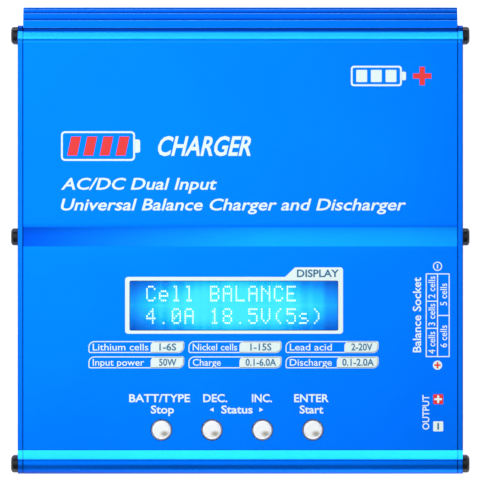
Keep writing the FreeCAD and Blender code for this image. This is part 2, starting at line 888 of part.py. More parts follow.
def lcd_bezel():
    """Bent steel frame over the display glass, with eight tabs through the display board."""
    outer = block(
        around(display_x, lcd_bezel_size[0]),
        around(y_display, lcd_bezel_size[1]),
        (z_lcd_top, z_bezel_top),
    )
    wall = 2 * lcd_bezel_wall
    inner = block(
        around(display_x, lcd_bezel_size[0] - wall),
        around(y_display, lcd_bezel_size[1] - wall),
        (z_lcd_top, z_bezel_top - lcd_bezel_wall),
    )
    view = block(
        around(display_x, lcd_view_size[0]),
        around(y_display, lcd_view_size[1]),
        (z_lcd_top, z_bezel_top + past),
    )
    return outer.cut(inner).cut(view)


def lcd_inside(margin):
    """Plan of the space inside the bezel."""
    wall = 2 * (lcd_bezel_wall + margin)
    return (
        around(display_x, lcd_bezel_size[0] - wall),
        around(y_display, lcd_bezel_size[1] - wall),
    )


def lcd_glass():
    """Sandwich of glass that shows the characters."""
    x, y = lcd_inside(lcd_glass_margin)
    top = z_bezel_top - lcd_bezel_wall
    return block(x, y, (top - lcd_glass_thickness, top))


def lcd_backlight():
    """Light guide with its lamp block at one end."""
    x, y = lcd_inside(lcd_glass_margin)
    top = z_bezel_top - lcd_bezel_wall - lcd_glass_thickness
    guide = block(x, y, (z_lcd_top, top))
    slot_width, slot_depth = lamp_slot
    slot_x = (x[1] - lamp_length - slot_width, x[1] - lamp_length)
    return guide.cut(block(slot_x, y, (top - slot_depth, top + past)))


def pin_row(start, count, z):
    """Square pins in a row along X."""
    return [
        block(around(start[0] + i * pin_pitch, pin_width), around(start[1], pin_width), z)
        for i in range(count)
    ]


def pin_holes(start, count):
    """Drill holes for a row of pins, through every board."""
    return [
        rod(vec(start[0] + i * pin_pitch, start[1], z_bottom), pin_hole_radius, case_height, Z_AXIS)
        for i in range(count)
    ]


def header(start, count, z):
    """Pin header that stands between two boards, its pins passing through both."""
    x = (start[0] - pin_pitch / 2, start[0] + (count - 0.5) * pin_pitch)
    strip = block(x, around(start[1], header_width), z)
    reach = board_thickness + pin_tail
    return fuse_all([strip] + pin_row(start, count, (z[0] - reach, z[1] + reach)))


def pin_headers():
    return [
        header(lcd_header_start, lcd_header_count, (z_control_top, z_lcd_board)),
        header(link_header_start, link_header_count, (z_main_top, z_control)),
    ]


def screw_holes(places, radius=machine_hole_radius):
    return [rod(vec(x, y, z_bottom), radius, case_height, Z_AXIS) for x, y in places]


def lcd_board():
    """Board of the display module."""
    board = block(
        around(display_x, lcd_board_size[0]),
        around(y_display, lcd_board_size[1]),
        (z_lcd_board, z_lcd_top),
    )
    return cut_all(board, screw_holes(lcd_holes) + pin_holes(lcd_header_start, lcd_header_count))


# ---------------------------------------------------------------- keys
def key_cap(x):
    """Round push key with a domed top and a flange that stops under the cover."""
    flange_top = z_ceiling - key_flange_gap
    flange_bottom = flange_top - key_flange_thickness
    top = z_top + key_rise
    head = rod(vec(x, y_keys, flange_bottom), key_radius, top - flange_bottom, Z_AXIS)
    rim = [e for e in head.Edges if e.Closed and abs(e.CenterOfMass.z - top) < 1e-6]
    head = head.makeFillet(key_edge_radius, rim)
    flange = rod(vec(x, y_keys, flange_bottom), key_flange_radius, key_flange_thickness, Z_AXIS)
    skirt_bottom = flange_bottom - key_skirt_length
    skirt = rod(vec(x, y_keys, skirt_bottom), key_skirt_radius, key_skirt_length, Z_AXIS)
    stem_top = z_control_top + stem_top_above_board
    socket = rod(
        vec(x, y_keys, skirt_bottom - past),
        stem_radius + stem_fit,
        stem_top - skirt_bottom + past,
        Z_AXIS,
    )
    return fuse_all([head, flange, skirt]).cut(socket)


def key_stem(x):
    """Plunger of the switch under one key."""
    foot_bottom = z_control_top + switch_floor + key_travel + stem_rest_gap
    stem_top = z_control_top + stem_top_above_board
    shaft = rod(vec(x, y_keys, foot_bottom), stem_radius, stem_top - foot_bottom, Z_AXIS)
    foot = rod(vec(x, y_keys, foot_bottom), stem_foot_radius, stem_foot_height, Z_AXIS)
    return fuse_all([shaft, foot])


def switch_bodies():
    """Square switch housings, hollow, with a hole in the roof for the plunger."""
    bodies = []
    for x in key_places_x:
        square = around(x, switch_size), around(y_keys, switch_size)
        inside = switch_size - 2 * switch_wall
        shell = block(*square, (z_control_top, z_control_top + switch_height))
        hollow = block(
            around(x, inside),
            around(y_keys, inside),
            (z_control_top + switch_floor, z_control_top + switch_height - switch_roof),
        )
        hole_start = vec(x, y_keys, z_control_top + switch_floor)
        hole = rod(hole_start, stem_radius + stem_hole_clearance, switch_height, Z_AXIS)
        bodies.append(shell.cut(hollow).cut(hole))
    return bodies


# ---------------------------------------------------------------- boards
def main_board():
    """L-shaped board over the front of the case and its right rear, notched for the fan."""
    left = x_left + board_edge_gap
    right = x_right - board_edge_gap
    front = y_front + board_front_gap
    rear = y_wall - board_rear_gap
    fan_right = x_left + fan_depth + board_edge_gap
    notch = around(y_fan, fan_size + 2 * board_edge_gap)
    corners = [
        (left, front),
        (right, front),
        (right, rear),
        (rear_split_x, rear),
        (rear_split_x, y_rib),
        (fan_right, y_rib),
        (fan_right, notch[0]),
        (left, notch[0]),
    ]
    board = plan_prism((z_main, z_main_top), [(x, y, board_corner_radius) for x, y in corners])
    holes = screw_holes(control_holes + main_free_holes) + pin_holes(link_header_start, link_header_count)
    return cut_all(board, holes)


def control_board():
    """Board that carries the keys' switches and, on spacers, the display."""
    board = block(control_board_x, y_control, (z_control, z_control_top))
    pins = pin_holes(link_header_start, link_header_count) + pin_holes(lcd_header_start, lcd_header_count)
    return cut_all(board, screw_holes(control_holes + lcd_holes) + pins)


def supply_board():
    """Board of the mains supply, behind the rib."""
    board = block(supply_board_x, y_supply, (z_main, z_main_top))
    return cut_all(board, screw_holes(supply_holes))


def standoff(place, z, stud=0.0):
    """Threaded hexagonal spacer, with a stud below it where it stands on another."""
    x, y = place
    body = hexagon(x, y, z, standoff_flats)
    bore = rod(vec(x, y, z[0] - past), thread_radius, z[1] - z[0] + 2 * past, Z_AXIS)
    if stud == 0:
        return body.cut(bore)
    blind_end = z[0] + standoff_web
    blind = rod(vec(x, y, blind_end), thread_radius, z[1] - blind_end + past, Z_AXIS)
    peg = rod(vec(x, y, z[0] - stud), machine_screw_radius, stud + join, Z_AXIS)
    return body.fuse(peg).cut(blind)


def board_standoffs():
    low = (z_floor, z_main)
    spacers = [standoff(place, low) for place in control_holes + main_free_holes + supply_holes]
    upper = (z_main_top, z_control)
    spacers += [standoff(place, upper, board_thickness + standoff_stud) for place in control_holes]
    spacers += [standoff(place, (z_control_top, z_lcd_board)) for place in lcd_holes]
    return spacers


def machine_screw(seat, into):
    """Pan head machine screw, its head seated at a point and its shank going the other way."""
    head = Part.makeCylinder(machine_head_radius, machine_head_height, seat, into * -1)
    shank = Part.makeCylinder(machine_screw_radius, machine_screw_length, seat, into)
    recess = cross_recess(seat - into * (machine_head_height + recess_lift), into, X_AXIS)
    return head.fuse(shank).cut(Part.makeCompound(recess))


def transistor_places():
    """Middle of each power transistor along the rear wall."""
    charge_start = x_right - board_edge_gap - transistor_tab[0] / 2 - transistor_edge_gap
    charge = [charge_start - i * charge_transistor_pitch for i in range(charge_transistor_count)]
    supply_middle = sum(supply_board_x) / 2
    supply = [
        supply_middle + (i - (supply_transistor_count - 1) / 2) * supply_transistor_pitch
        for i in range(supply_transistor_count)
    ]
    return charge + supply


def transistor_screws():
    """Place along X and height of the screw that holds each transistor."""
    return [(x, z_tab_top - transistor_hole_drop) for x in transistor_places()]


def board_screws():
    """Machine screws of the boards, and those that hold the transistors, cut to the wall's depth."""
    seats = [(x, y, z_control_top) for x, y in control_holes]
    seats += [(x, y, z_main_top) for x, y in main_free_holes + supply_holes]
    seats += [(x, y, z_lcd_top) for x, y in lcd_holes]
    screws = [machine_screw(vec(*seat), Z_AXIS * -1) for seat in seats]
    tab_face = y_wall - transistor_pad_thickness - transistor_tab[1]
    hole_end = y_wall + heat_wall - thread_floor
    spare = tab_face + machine_screw_length - hole_end
    for x, z in transistor_screws():
        screw = machine_screw(vec(x, tab_face, z), Y_AXIS)
        if spare > 0:
            trim_radius = machine_screw_radius + past
            screw = screw.cut(rod(vec(x, hole_end, z), trim_radius, spare + past, Y_AXIS))
        screws.append(screw)
    return screws


# ---------------------------------------------------------------- board parts
def power_transistors():
    """Flat power packages, each with a metal tab, a moulded body and three leads."""
    parts = []
    tab_back = y_wall - transistor_pad_thickness
    tab_face = tab_back - transistor_tab[1]
    for x, hole_height in transistor_screws():
        tab = block(around(x, transistor_tab[0]), (tab_face, tab_back), (z_tab, z_tab_top))
        body = block(
            around(x, transistor_body[0]),
            (tab_face - transistor_body[1], tab_face),
            (z_tab, z_tab + transistor_body[2]),
        )
        middle = tab_face - transistor_body[1] / 2
        leads = [
            block(
                around(x + i * transistor_lead_pitch, transistor_lead_width),
                around(middle, transistor_lead_width),
                (z_main_top, z_tab + join),
            )
            for i in (-1, 0, 1)
        ]
        hole_start = vec(x, tab_face - past, hole_height)
        hole = rod(hole_start, machine_hole_radius, transistor_tab[1] + 2 * past, Y_AXIS)
        parts.append(fuse_all([tab, body] + leads).cut(hole))
    return parts


def transistor_pads():
    """Thermal pads between the transistors and the rear wall."""
    pads = []
    for x, hole_height in transistor_screws():
        across = around(x, transistor_tab[0])
        pad = block(across, (y_wall - transistor_pad_thickness, y_wall), (z_tab, z_tab_top))
        hole = rod(vec(x, y_wall - past, hole_height), machine_hole_radius, 2 * past, Y_AXIS)
        pads.append(pad.cut(hole))
    return pads


def toroid_places():
    """Plan position of each toroid: two chokes of the charging stage and one mains filter."""
    radius = toroid_outer_radius + winding_thickness
    charge_x = rear_split_x + radius + toroid_gap
    charge_y = y_wall - transistor_reach - toroid_gap - radius
    filter_x = supply_board_x[0] + radius + toroid_inset
    return [
        (charge_x, charge_y),
        (charge_x, charge_y - 2 * radius - toroid_gap),
        (filter_x, y_supply[0] + radius + toroid_gap),
    ]


def toroid_core(x, y):
    """Ring of pressed powder that stands on its winding."""
    low = z_main_top + winding_thickness
    ring = rod(vec(x, y, low), toroid_outer_radius, toroid_height, Z_AXIS)
    return ring.cut(rod(vec(x, y, low - past), toroid_inner_radius, toroid_height + 2 * past, Z_AXIS))


def toroid_winding(x, y):
    """Wire wound round the ring, as one wrapped sleeve with a gap for the leads."""
    top = z_main_top + toroid_height + 2 * winding_thickness
    section = [
        (toroid_inner_radius - winding_thickness, z_main_top),
        (toroid_outer_radius + winding_thickness, z_main_top),
        (toroid_outer_radius + winding_thickness, top),
        (toroid_inner_radius - winding_thickness, top),
    ]
    corners = [(vec(x + radius, y, z), winding_edge_radius) for radius, z in section]
    sleeve = outline_face(corners).revolve(vec(x, y, 0), Z_AXIS, winding_sweep)
    return sleeve.cut(toroid_core(x, y))


def transformer_place():
    """Middle of the transformer in plan."""
    x = supply_board_x[1] - transformer_core_size[0] / 2 - transformer_edge_gap
    return x, sum(y_supply) / 2


def transformer_core():
    """Ferrite core with a window at each side of its middle leg."""
    x, y = transformer_place()
    width, depth, height = transformer_core_size
    low = z_main_top + transformer_lift
    core = block(around(x, width), around(y, depth), (low, low + height))
    inner = width / 2 - transformer_side_leg
    half_leg = transformer_leg_width / 2
    windows = [
        block(
            tuple(sorted((x + side * half_leg, x + side * inner))),
            around(y, depth + 2 * past),
            (low + transformer_yoke, low + height - transformer_yoke),
        )
        for side in (-1, 1)
    ]
    return cut_all(core, windows)


def transformer_winding():
    """Taped winding round the middle leg of the core."""
    x, y = transformer_place()
    width, depth, height = transformer_core_size
    side_gap, end_gap = transformer_winding_gaps
    low = z_main_top + transformer_lift + transformer_yoke + end_gap
    high = z_main_top + transformer_lift + height - transformer_yoke - end_gap
    reach = 2 * (width / 2 - transformer_side_leg - side_gap)
    across = around(y, transformer_winding_depth)
    bundle = rounded_block(around(x, reach), across, (low, high), transformer_winding_radius)
    leg = block(around(x, transformer_leg_width), around(y, depth), (low - past, high + past))
    return bundle.cut(leg)


def capacitor(x, y, radius, height):
    """Electrolytic can with a rolled groove near its foot."""
    can = rod(vec(x, y, z_main_top), radius, height, Z_AXIS)
    rims = [e for e in can.Edges if e.Closed and e.Length > radius]
    can = can.makeFillet(capacitor_edge_radius, rims)
    groove_middle = vec(x, y, z_main_top + capacitor_groove_height)
    groove_reach = radius + capacitor_groove_offset
    return can.cut(Part.makeTorus(groove_reach, capacitor_groove_radius, groove_middle, Z_AXIS))


def electrolytic_capacitors():
    """Three cans of the charging stage, two of the supply and one large mains can."""
    radius, height = small_capacitor
    pitch = 2 * radius + capacitor_gap
    charge_x = x_right - board_edge_gap - capacitor_inset
    charge_y = y_rib + capacitor_inset
    supply_x = supply_board_x[1] - 2 * supply_screw_inset - radius
    supply_y = y_supply[0] + radius + capacitor_gap
    cans = [
        capacitor(charge_x, charge_y + i * pitch, radius, height) for i in range(charge_can_count)
    ]
    cans += [
        capacitor(supply_x - i * pitch, supply_y, radius, height) for i in range(supply_can_count)
    ]
    bulk_radius, bulk_height = bulk_capacitor
    bulk_x = supply_board_x[0] + bulk_inset + bulk_radius
    bulk_y = y_wall - transistor_reach - capacitor_gap - bulk_radius
    cans.append(capacitor(bulk_x, bulk_y, bulk_radius, bulk_height))
    return cans


def mains_fuse():
    """Cartridge fuse with a cap at each end."""
    behind_toroid = y_supply[0] + 2 * (toroid_outer_radius + winding_thickness + toroid_gap)
    start = vec(supply_board_x[0] + fuse_inset, behind_toroid + fuse_radius, z_main_top + fuse_radius)
    glass = rod(start, fuse_radius - fuse_cap_step, fuse_length)
    caps = [rod(start + X_AXIS * step, fuse_radius, fuse_cap) for step in (0.0, fuse_length - fuse_cap)]
    return fuse_all([glass] + caps)


def control_chips():
    """Surface-mounted chips, on the control board and on the main board."""
    y_gate_chips = y_display + gate_chip_behind_drivers
    chips = [(processor_place[0], y_keys + processor_place[1], processor_size, z_control_top)]
    chips += [(x, y_display, driver_size, z_main_top) for x in driver_places_x]
    chips += [(x, y_gate_chips, gate_chip_size, z_main_top) for x in gate_chip_places_x]
    return [
        block(around(x, size[0]), around(y, size[1]), (z, z + size[2])) for x, y, size, z in chips
    ]


def buzzer():
    """Round sounder with a hole in its top."""
    x = control_board_x[1] - buzzer_radius - buzzer_edge_gap
    place = vec(x, y_keys + buzzer_behind_keys, z_control_top)
    can = rod(place, buzzer_radius, buzzer_height, Z_AXIS)
    hole_radius, hole_depth = buzzer_hole
    hole_start = place + Z_AXIS * (buzzer_height - hole_depth)
    return can.cut(rod(hole_start, hole_radius, hole_depth + past, Z_AXIS))


# ---------------------------------------------------------------- sockets at the right
def socket_length(cells):
    """A socket for some cells has one pin more than cells."""
    return socket_pitch * cells + socket_end_allowance


def socket_places():
    """Cells, middle along Y and middle height of every balance socket."""
    places = []
    for row, cells_in_row in socket_rows.items():
        y = y_sockets
        for cells in cells_in_row:
            length = socket_length(cells)
            places.append((cells, y + length / 2, socket_row_z[row]))
            y += length + socket_gap
    return places


def socket_pins(cells, y, z, inner_x):
    """Square pins of one socket, which stand in its floor and pass through the board behind."""
    first = y - cells * socket_pitch / 2
    x = (inner_x - board_thickness - pin_tail, x_plate_right - socket_face_recess - socket_pin_recess)
    return [
        block(x, around(first + i * socket_pitch, pin_width), around(z, pin_width))
        for i in range(cells + 1)
    ]


def socket_housing(cells, y, z):
    """Open box that guides a plug, with two key slots in its upper wall."""
    face = x_plate_right - socket_face_recess
    back = face - socket_depth
    length = socket_length(cells)
    housing = block((back, face), around(y, length), around(z, socket_height))
    cavity = block(
        (back + socket_floor, face + past),
        around(y, length - 2 * socket_wall),
        around(z, socket_height - 2 * socket_wall),
    )
    key_offset = cells * socket_pitch / 2 - socket_key_inset
    keys = [
        block(
            (face - socket_key_depth, face + past),
            around(y + side * key_offset, socket_key_width),
            (z, z + socket_height),
        )
        for side in (-1, 1)
    ]
    pins = socket_pins(cells, y, z, back)
    return cut_all(housing, [cavity] + keys + pins)


def socket_back():
    """Plane that the sockets' floors and the upright board share."""
    return x_plate_right - socket_face_recess - socket_depth


def balance_board():
    """Upright board behind the balance sockets."""
    back = socket_back()
    y = (y_sockets, y_sockets + socket_block_width() + balance_board_side_margin)
    z = (z_main_top, z_middle + socket_height + balance_board_top_margin)
    board = block((back - board_thickness, back), y, z)
    holes = []
    for cells, middle, height in socket_places():
        for i in range(cells + 1):
            pin_y = middle + (i - cells / 2) * socket_pitch
            start = vec(back - board_thickness - past, pin_y, height)
            holes.append(rod(start, pin_hole_radius, board_thickness + 2 * past))
    return cut_all(board, holes)


def balance_pins():
    """Pins of all the balance sockets."""
    pins = []
    for cells, y, z in socket_places():
        pins += socket_pins(cells, y, z, socket_back())
    return pins


def output_jack(y):
    """Insulated block of one output jack, with a round nose that fills its hole in the plate."""
    block_face = x_right - slide_gap
    body = rounded_block(
        (block_face - jack_block_length, block_face),
        around(y, jack_block_width),
        (z_main_top, z_middle + jack_block_width / 2),
        jack_block_radius,
        X_AXIS,
    )
    face = x_plate_right - socket_face_recess
    nose = rod(vec(block_face - join, y, z_middle), jack_nose_radius, face - block_face + join)
    return body.fuse(nose)


def jack_sleeve_span():
    """Low and high X of a jack's brass sleeve."""
    front = x_plate_right - socket_face_recess - jack_lead_in
    return (front - jack_bore_length, front)


def jack_tail(y, bottom):
    """Square solder tail of a jack's sleeve, down to some height."""
    x = jack_sleeve_span()[0] + jack_tail_inset
    return block(around(x, jack_tail_width), around(y, jack_tail_width), (bottom, z_middle))


def output_jack_housing(y):
    """Block of one output jack with room for its sleeve and the sleeve's tail."""
    low, high = jack_sleeve_span()
    sleeve_room = rod(vec(low, y, z_middle), jack_sleeve_radius, high - low)
    mouth_radius = jack_bore_radius + jack_mouth_clearance
    mouth = rod(vec(high - join, y, z_middle), mouth_radius, join + jack_lead_in + past)
    return cut_all(output_jack(y), [sleeve_room, mouth, jack_tail(y, z_main_top - past)])


def output_jack_sleeves():
    """Brass sleeves that take the plugs, each with a solder tail down to the main board."""
    low, high = jack_sleeve_span()
    sleeves = []
    for y in y_jacks:
        sleeve = rod(vec(low, y, z_middle), jack_sleeve_radius, high - low)
        bore = rod(vec(low - past, y, z_middle), jack_bore_radius, high - low + 2 * past)
        sleeves.append(fuse_all([sleeve, jack_tail(y, z_main_top)]).cut(bore))
    return sleeves


def usb_port():
    """Pressed shell of the data port, with its contact tongue."""
    face = x_plate_right - socket_face_recess
    width, height = usb_size
    middle = z_main_top + height / 2
    shell = rounded_block(
        (face - usb_depth, face),
        around(y_usb, width),
        around(middle, height),
        usb_corner_radius,
        X_AXIS,
    )
    hollow = block(
        (face - usb_depth + usb_wall, face + past),
        around(y_usb, width - 2 * usb_wall),
        around(middle, height - 2 * usb_wall),
    )
    tongue = block(
        (face - usb_depth + usb_wall, face - usb_tongue_recess),
        around(y_usb, usb_tongue[0]),
        around(middle, usb_tongue[1]),
    )
    return shell.cut(hollow).fuse(tongue)


def sensor_port():
    """Three-pin port for the temperature probe, with its pins."""
    cells = sensor_pin_count - 1
    z = z_main_top + socket_height / 2
    housing = socket_housing(cells, y_sensor, z)
    back = socket_back()
    first = y_sensor - cells * socket_pitch / 2
    pins = [
        block(
            (back + sensor_pin_start, x_plate_right - socket_face_recess - socket_pin_recess),
            around(first + i * socket_pitch, pin_width),
            around(z, pin_width),
        )
        for i in range(sensor_pin_count)
    ]
    return fuse_all([housing] + pins)


# ---------------------------------------------------------------- sockets at the left
def inlet_blades(back_reach):
    """Three blades of the mains inlet: live, neutral and a longer earth."""
    mouth = x_plate_left + socket_face_recess
    back = mouth + inlet_cavity_depth + inlet_back_wall + back_reach
    half = inlet_blade_spacing / 2
    low = z_middle - inlet_blade_offset
    high = z_middle + inlet_blade_offset
    blades = [
        (y_inlet - half, low, inlet_blade_recess),
        (y_inlet + half, low, inlet_blade_recess),
        (y_inlet, high, inlet_earth_recess),
    ]
    return [
        block((mouth + recess, back), around(y, inlet_blade[0]), around(z, inlet_blade[1]))
        for y, z, recess in blades
    ]


def mains_inlet():
    """Moulded inlet. Its flange bears on the inside of the left plate, its nose fills the window."""
    mouth = x_plate_left + socket_face_recess
    back = mouth + inlet_cavity_depth + inlet_back_wall
    nose = side_prism((mouth, back), inlet_corners(inlet_nose, inlet_chamfer))
    width, height, depth = inlet_flange
    flange = rounded_block(
        (x_left, x_left + depth),
        around(y_inlet, width),
        around(z_middle, height),
        inlet_flange_radius,
        X_AXIS,
    )
    cavity_x = (mouth - past, mouth + inlet_cavity_depth)
    cavity = side_prism(cavity_x, inlet_corners(inlet_cavity, inlet_cavity_chamfer))
    holes = [rod(vec(x_left - past, y, z), thread_radius, depth + 2 * past) for y, z in inlet_holes()]
    return cut_all(fuse_all([nose, flange]), [cavity] + holes + inlet_blades(0.0))


def flush_screws(places, length):
    """Countersunk screws that lie flush in the left plate."""
    screws = []
    for y, z in places:
        seat = vec(x_plate_left, y, z)
        head = Part.makeCone(flush_head_radius, machine_screw_radius, flush_head_height, seat, X_AXIS)
        shank = Part.makeCylinder(machine_screw_radius, length, seat, X_AXIS)
        recess = cross_recess(seat - X_AXIS * recess_lift, X_AXIS, Y_AXIS)
        screws.append(head.fuse(shank).cut(Part.makeCompound(recess)))
    return screws


def dc_input_jack():
    """Low-voltage inlet on the main board, with a round nose in the left plate."""
    length, width, height = dc_jack_size
    body_face = x_left + slide_gap
    body = block(
        (body_face, body_face + length),
        around(y_dc_jack, width),
        (z_main_top, z_main_top + height),
    )
    mouth = x_plate_left + socket_face_recess
    nose = rod(vec(mouth, y_dc_jack, z_dc_jack), dc_jack_nose_radius, body_face - mouth + join)
    bore_start = vec(mouth - past, y_dc_jack, z_dc_jack)
    bore = rod(bore_start, dc_jack_bore_radius, dc_jack_bore_depth + past)
    room_length = dc_jack_bore_depth + dc_jack_pin_root
    pin_room = rod(vec(mouth, y_dc_jack, z_dc_jack), dc_jack_pin_radius, room_length)
    return cut_all(fuse_all([body, nose]), [bore, pin_room])


def dc_input_pin():
    """Centre pin of the low-voltage inlet."""
    mouth = x_plate_left + socket_face_recess
    start = mouth + dc_jack_pin_recess
    length = dc_jack_bore_depth + dc_jack_pin_root - dc_jack_pin_recess
    pin = rod(vec(start, y_dc_jack, z_dc_jack), dc_jack_pin_radius, length)
    tip = [e for e in pin.Edges if e.Closed and abs(e.CenterOfMass.x - start) < 1e-6]
    return pin.makeFillet(dc_jack_pin_edge_radius, tip)


def mains_wires():
    """Three insulated wires from the inlet's tails down to the supply board."""
    half = inlet_blade_spacing / 2
    starts = [
        (y_inlet - half, z_middle - inlet_blade_offset),
        (y_inlet + half, z_middle - inlet_blade_offset),
        (y_inlet, z_middle + inlet_blade_offset),
    ]
    wires = []
    for y, z in starts:
        start = vec(inlet_tail_end, y, z)
        corner = start + X_AXIS * wire_run
        end = vec(corner.x, y, z_main_top)
        shorter = min(wire_run, z - z_main_top)
        bend_radius = wire_bend_share * shorter
        arc_start, arc_middle, arc_end = corner_arc(start, corner, end, bend_radius)
        path = Part.Wire(
            [
                Part.makeLine(start, arc_start),
                Part.Arc(arc_start, arc_middle, arc_end).toShape(),
                Part.makeLine(arc_end, end),
            ]
        )
        ring = Part.Wire([Part.makeCircle(wire_radius, start, X_AXIS)])
        wires.append(path.makePipeShell([ring], True, False))
    return wires


# ---------------------------------------------------------------- fan
def fan_frame():
    """Square fan frame whose inner side carries the motor base on four struts."""
    front = x_left
    back = x_left + fan_depth
    frame = rounded_block(
        (front, back), around(y_fan, fan_size), around(z_middle, fan_size), fan_corner_radius, X_AXIS
    )
    air_way = rod(vec(front - past, y_fan, z_middle), fan_bore_radius, fan_depth + 2 * past)
    frame = frame.cut(air_way)
    base_start = back - fan_base_thickness
    base = rod(vec(base_start, y_fan, z_middle), fan_hub_radius, fan_base_thickness)
    tube = rod(vec(base_start - fan_tube_length, y_fan, z_middle), fan_tube_radius, fan_tube_length)
    reach = fan_bore_radius + fan_strut_root
    struts = [
        block((base_start, back), around(y_fan, fan_strut_width), around(z_middle, 2 * reach)),
        block((base_start, back), around(y_fan, 2 * reach), around(z_middle, fan_strut_width)),
    ]
    bearing_room = rod(
        vec(base_start - fan_tube_length - past, y_fan, z_middle),
        fan_bearing_radius,
        fan_tube_length + past,
    )
    screw_room = fan_depth + 2 * past
    holes = [rod(vec(front - past, y, z), thread_radius, screw_room) for y, z in fan_holes()]
    return cut_all(fuse_all([frame, base, tube] + struts), [bearing_room] + holes)


def fan_bearing():
    """Sintered sleeve pressed into the frame's tube."""
    start = x_left + fan_depth - fan_base_thickness - fan_tube_length
    sleeve = rod(vec(start, y_fan, z_middle), fan_bearing_radius, fan_tube_length)
    bore_radius = fan_shaft_radius + fan_running_gap
    bore = rod(vec(start - past, y_fan, z_middle), bore_radius, fan_tube_length + 2 * past)
    return sleeve.cut(bore)


def fan_stator():
    """Wound stator ring pressed over the bearing tube."""
    tube_end = x_left + fan_depth - fan_base_thickness - fan_tube_length
    start = tube_end + fan_stator_start
    ring = rod(vec(start, y_fan, z_middle), fan_stator_radius, fan_stator_length)
    room = rod(vec(start - past, y_fan, z_middle), fan_tube_radius, fan_stator_length + 2 * past)
    slot_step = 360.0 / fan_stator_slot_count
    slots = []
    for i in range(fan_stator_slot_count):
        slot = block(
            (start - past, start + fan_stator_length + past),
            around(y_fan, fan_stator_slot_width),
            (z_middle + fan_tube_radius + fan_stator_slot_floor, z_middle + fan_stator_radius + past),
        )
        slot.rotate(vec(start, y_fan, z_middle), X_AXIS, slot_step * (i + 0.5))
        slots.append(slot)
    return cut_all(ring, [room] + slots)


def fan_rotor():
    """Hub cup with pitched blades, which turns about X."""
    hub_start = x_left + fan_front_gap
    hub = rod(vec(hub_start, y_fan, z_middle), fan_hub_radius, fan_hub_depth)
    hollow = rod(
        vec(hub_start + fan_hub_wall, y_fan, z_middle), fan_hub_radius - fan_hub_wall, fan_hub_depth
    )
    boss_radius = fan_tube_radius - fan_boss_step
    boss = rod(vec(hub_start, y_fan, z_middle), boss_radius, fan_hub_wall + fan_boss_rise)
    shaft_start = hub_start + fan_shaft_start
    shaft_room = rod(vec(shaft_start, y_fan, z_middle), fan_shaft_radius, fan_hub_depth)
    middle_x = hub_start + fan_hub_depth / 2
    blades = []
    for i in range(fan_blade_count):
        blade = block(
            around(middle_x, fan_blade_chord),
            around(y_fan, fan_blade_thickness),
            (z_middle + fan_hub_radius - fan_hub_wall / 2, z_middle + fan_tip_radius),
        )
        blade.rotate(vec(middle_x, y_fan, z_middle), Z_AXIS, fan_blade_angle)
        blade.rotate(vec(middle_x, y_fan, z_middle), X_AXIS, 360.0 * i / fan_blade_count)
        blades.append(blade)
    swept = rod(vec(hub_start, y_fan, z_middle), fan_tip_radius, fan_hub_depth)
    blades = [blade.common(swept) for blade in blades]
    return fuse_all([hub.cut(hollow), boss] + blades).cut(shaft_room)


def fan_shaft():
    """Shaft fixed in the hub, which turns in the bearing."""
    start = x_left + fan_front_gap + fan_shaft_start
    end = x_left + fan_depth - fan_base_thickness - fan_shaft_end_gap
    return rod(vec(start, y_fan, z_middle), fan_shaft_radius, end - start)


# ---------------------------------------------------------------- build
def main():
    os.makedirs("parts", exist_ok=True)
    nodes = {
        "upper_cover": upper_cover(),
        "lower_tray": lower_tray(),
        "left_end_plate": left_end_plate(),
        "right_end_plate": right_end_plate(),
        "end_plate_screws": end_plate_screws(),
        "rubber_feet": rubber_feet(),
        "display_window": display_window(),
        "lcd_bezel": lcd_bezel(),
        "lcd_glass": lcd_glass(),
        "lcd_backlight": lcd_backlight(),
        "lcd_board": lcd_board(),
        "switch_bodies": switch_bodies(),
        "main_board": main_board(),
        "control_board": control_board(),
        "supply_board": supply_board(),
        "board_standoffs": board_standoffs(),
        "board_screws": board_screws(),
        "pin_headers": pin_headers(),
        "control_chips": control_chips(),
        "buzzer": buzzer(),
        "power_transistors": power_transistors(),
        "transistor_pads": transistor_pads(),
        "inductor_cores": [toroid_core(x, y) for x, y in toroid_places()],
        "inductor_windings": [toroid_winding(x, y) for x, y in toroid_places()],
        "electrolytic_capacitors": electrolytic_capacitors(),
        "balance_pins": balance_pins(),
        "balance_board": balance_board(),
        "black_output_jack": output_jack_housing(y_jacks[0]),
        "red_output_jack": output_jack_housing(y_jacks[1]),
        "output_jack_sleeves": output_jack_sleeves(),
        "usb_port": usb_port(),
        "sensor_port": sensor_port(),
        "mains_inlet": mains_inlet(),
        "mains_inlet_blades": inlet_blades(inlet_tail),
        "inlet_screws": flush_screws(inlet_holes(), plate_thickness + inlet_flange[2]),
        "dc_input_jack": dc_input_jack(),
        "dc_input_pin": dc_input_pin(),
        "fan_frame": fan_frame(),
        "fan_stator": fan_stator(),
        "fan_bearing": fan_bearing(),
        "fan_screws": flush_screws(fan_holes(), fan_screw_length),
        "transformer_core": transformer_core(),
        "transformer_winding": transformer_winding(),
        "mains_fuse": mains_fuse(),
        "mains_wires": mains_wires(),
        "fan_rotor": fan_rotor(),
        "fan_shaft": fan_shaft(),
    }
    for cells, y, z in socket_places():
        nodes["balance_socket_%ds" % cells] = socket_housing(cells, y, z)
    for name, x in zip(("stop", "decrease", "increase", "start"), key_places_x):
        nodes[name + "_key_cap"] = key_cap(x)
        nodes[name + "_key_stem"] = key_stem(x)
    for name, shapes in nodes.items():
        export(name, shapes)


main()
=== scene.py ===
import json
import math

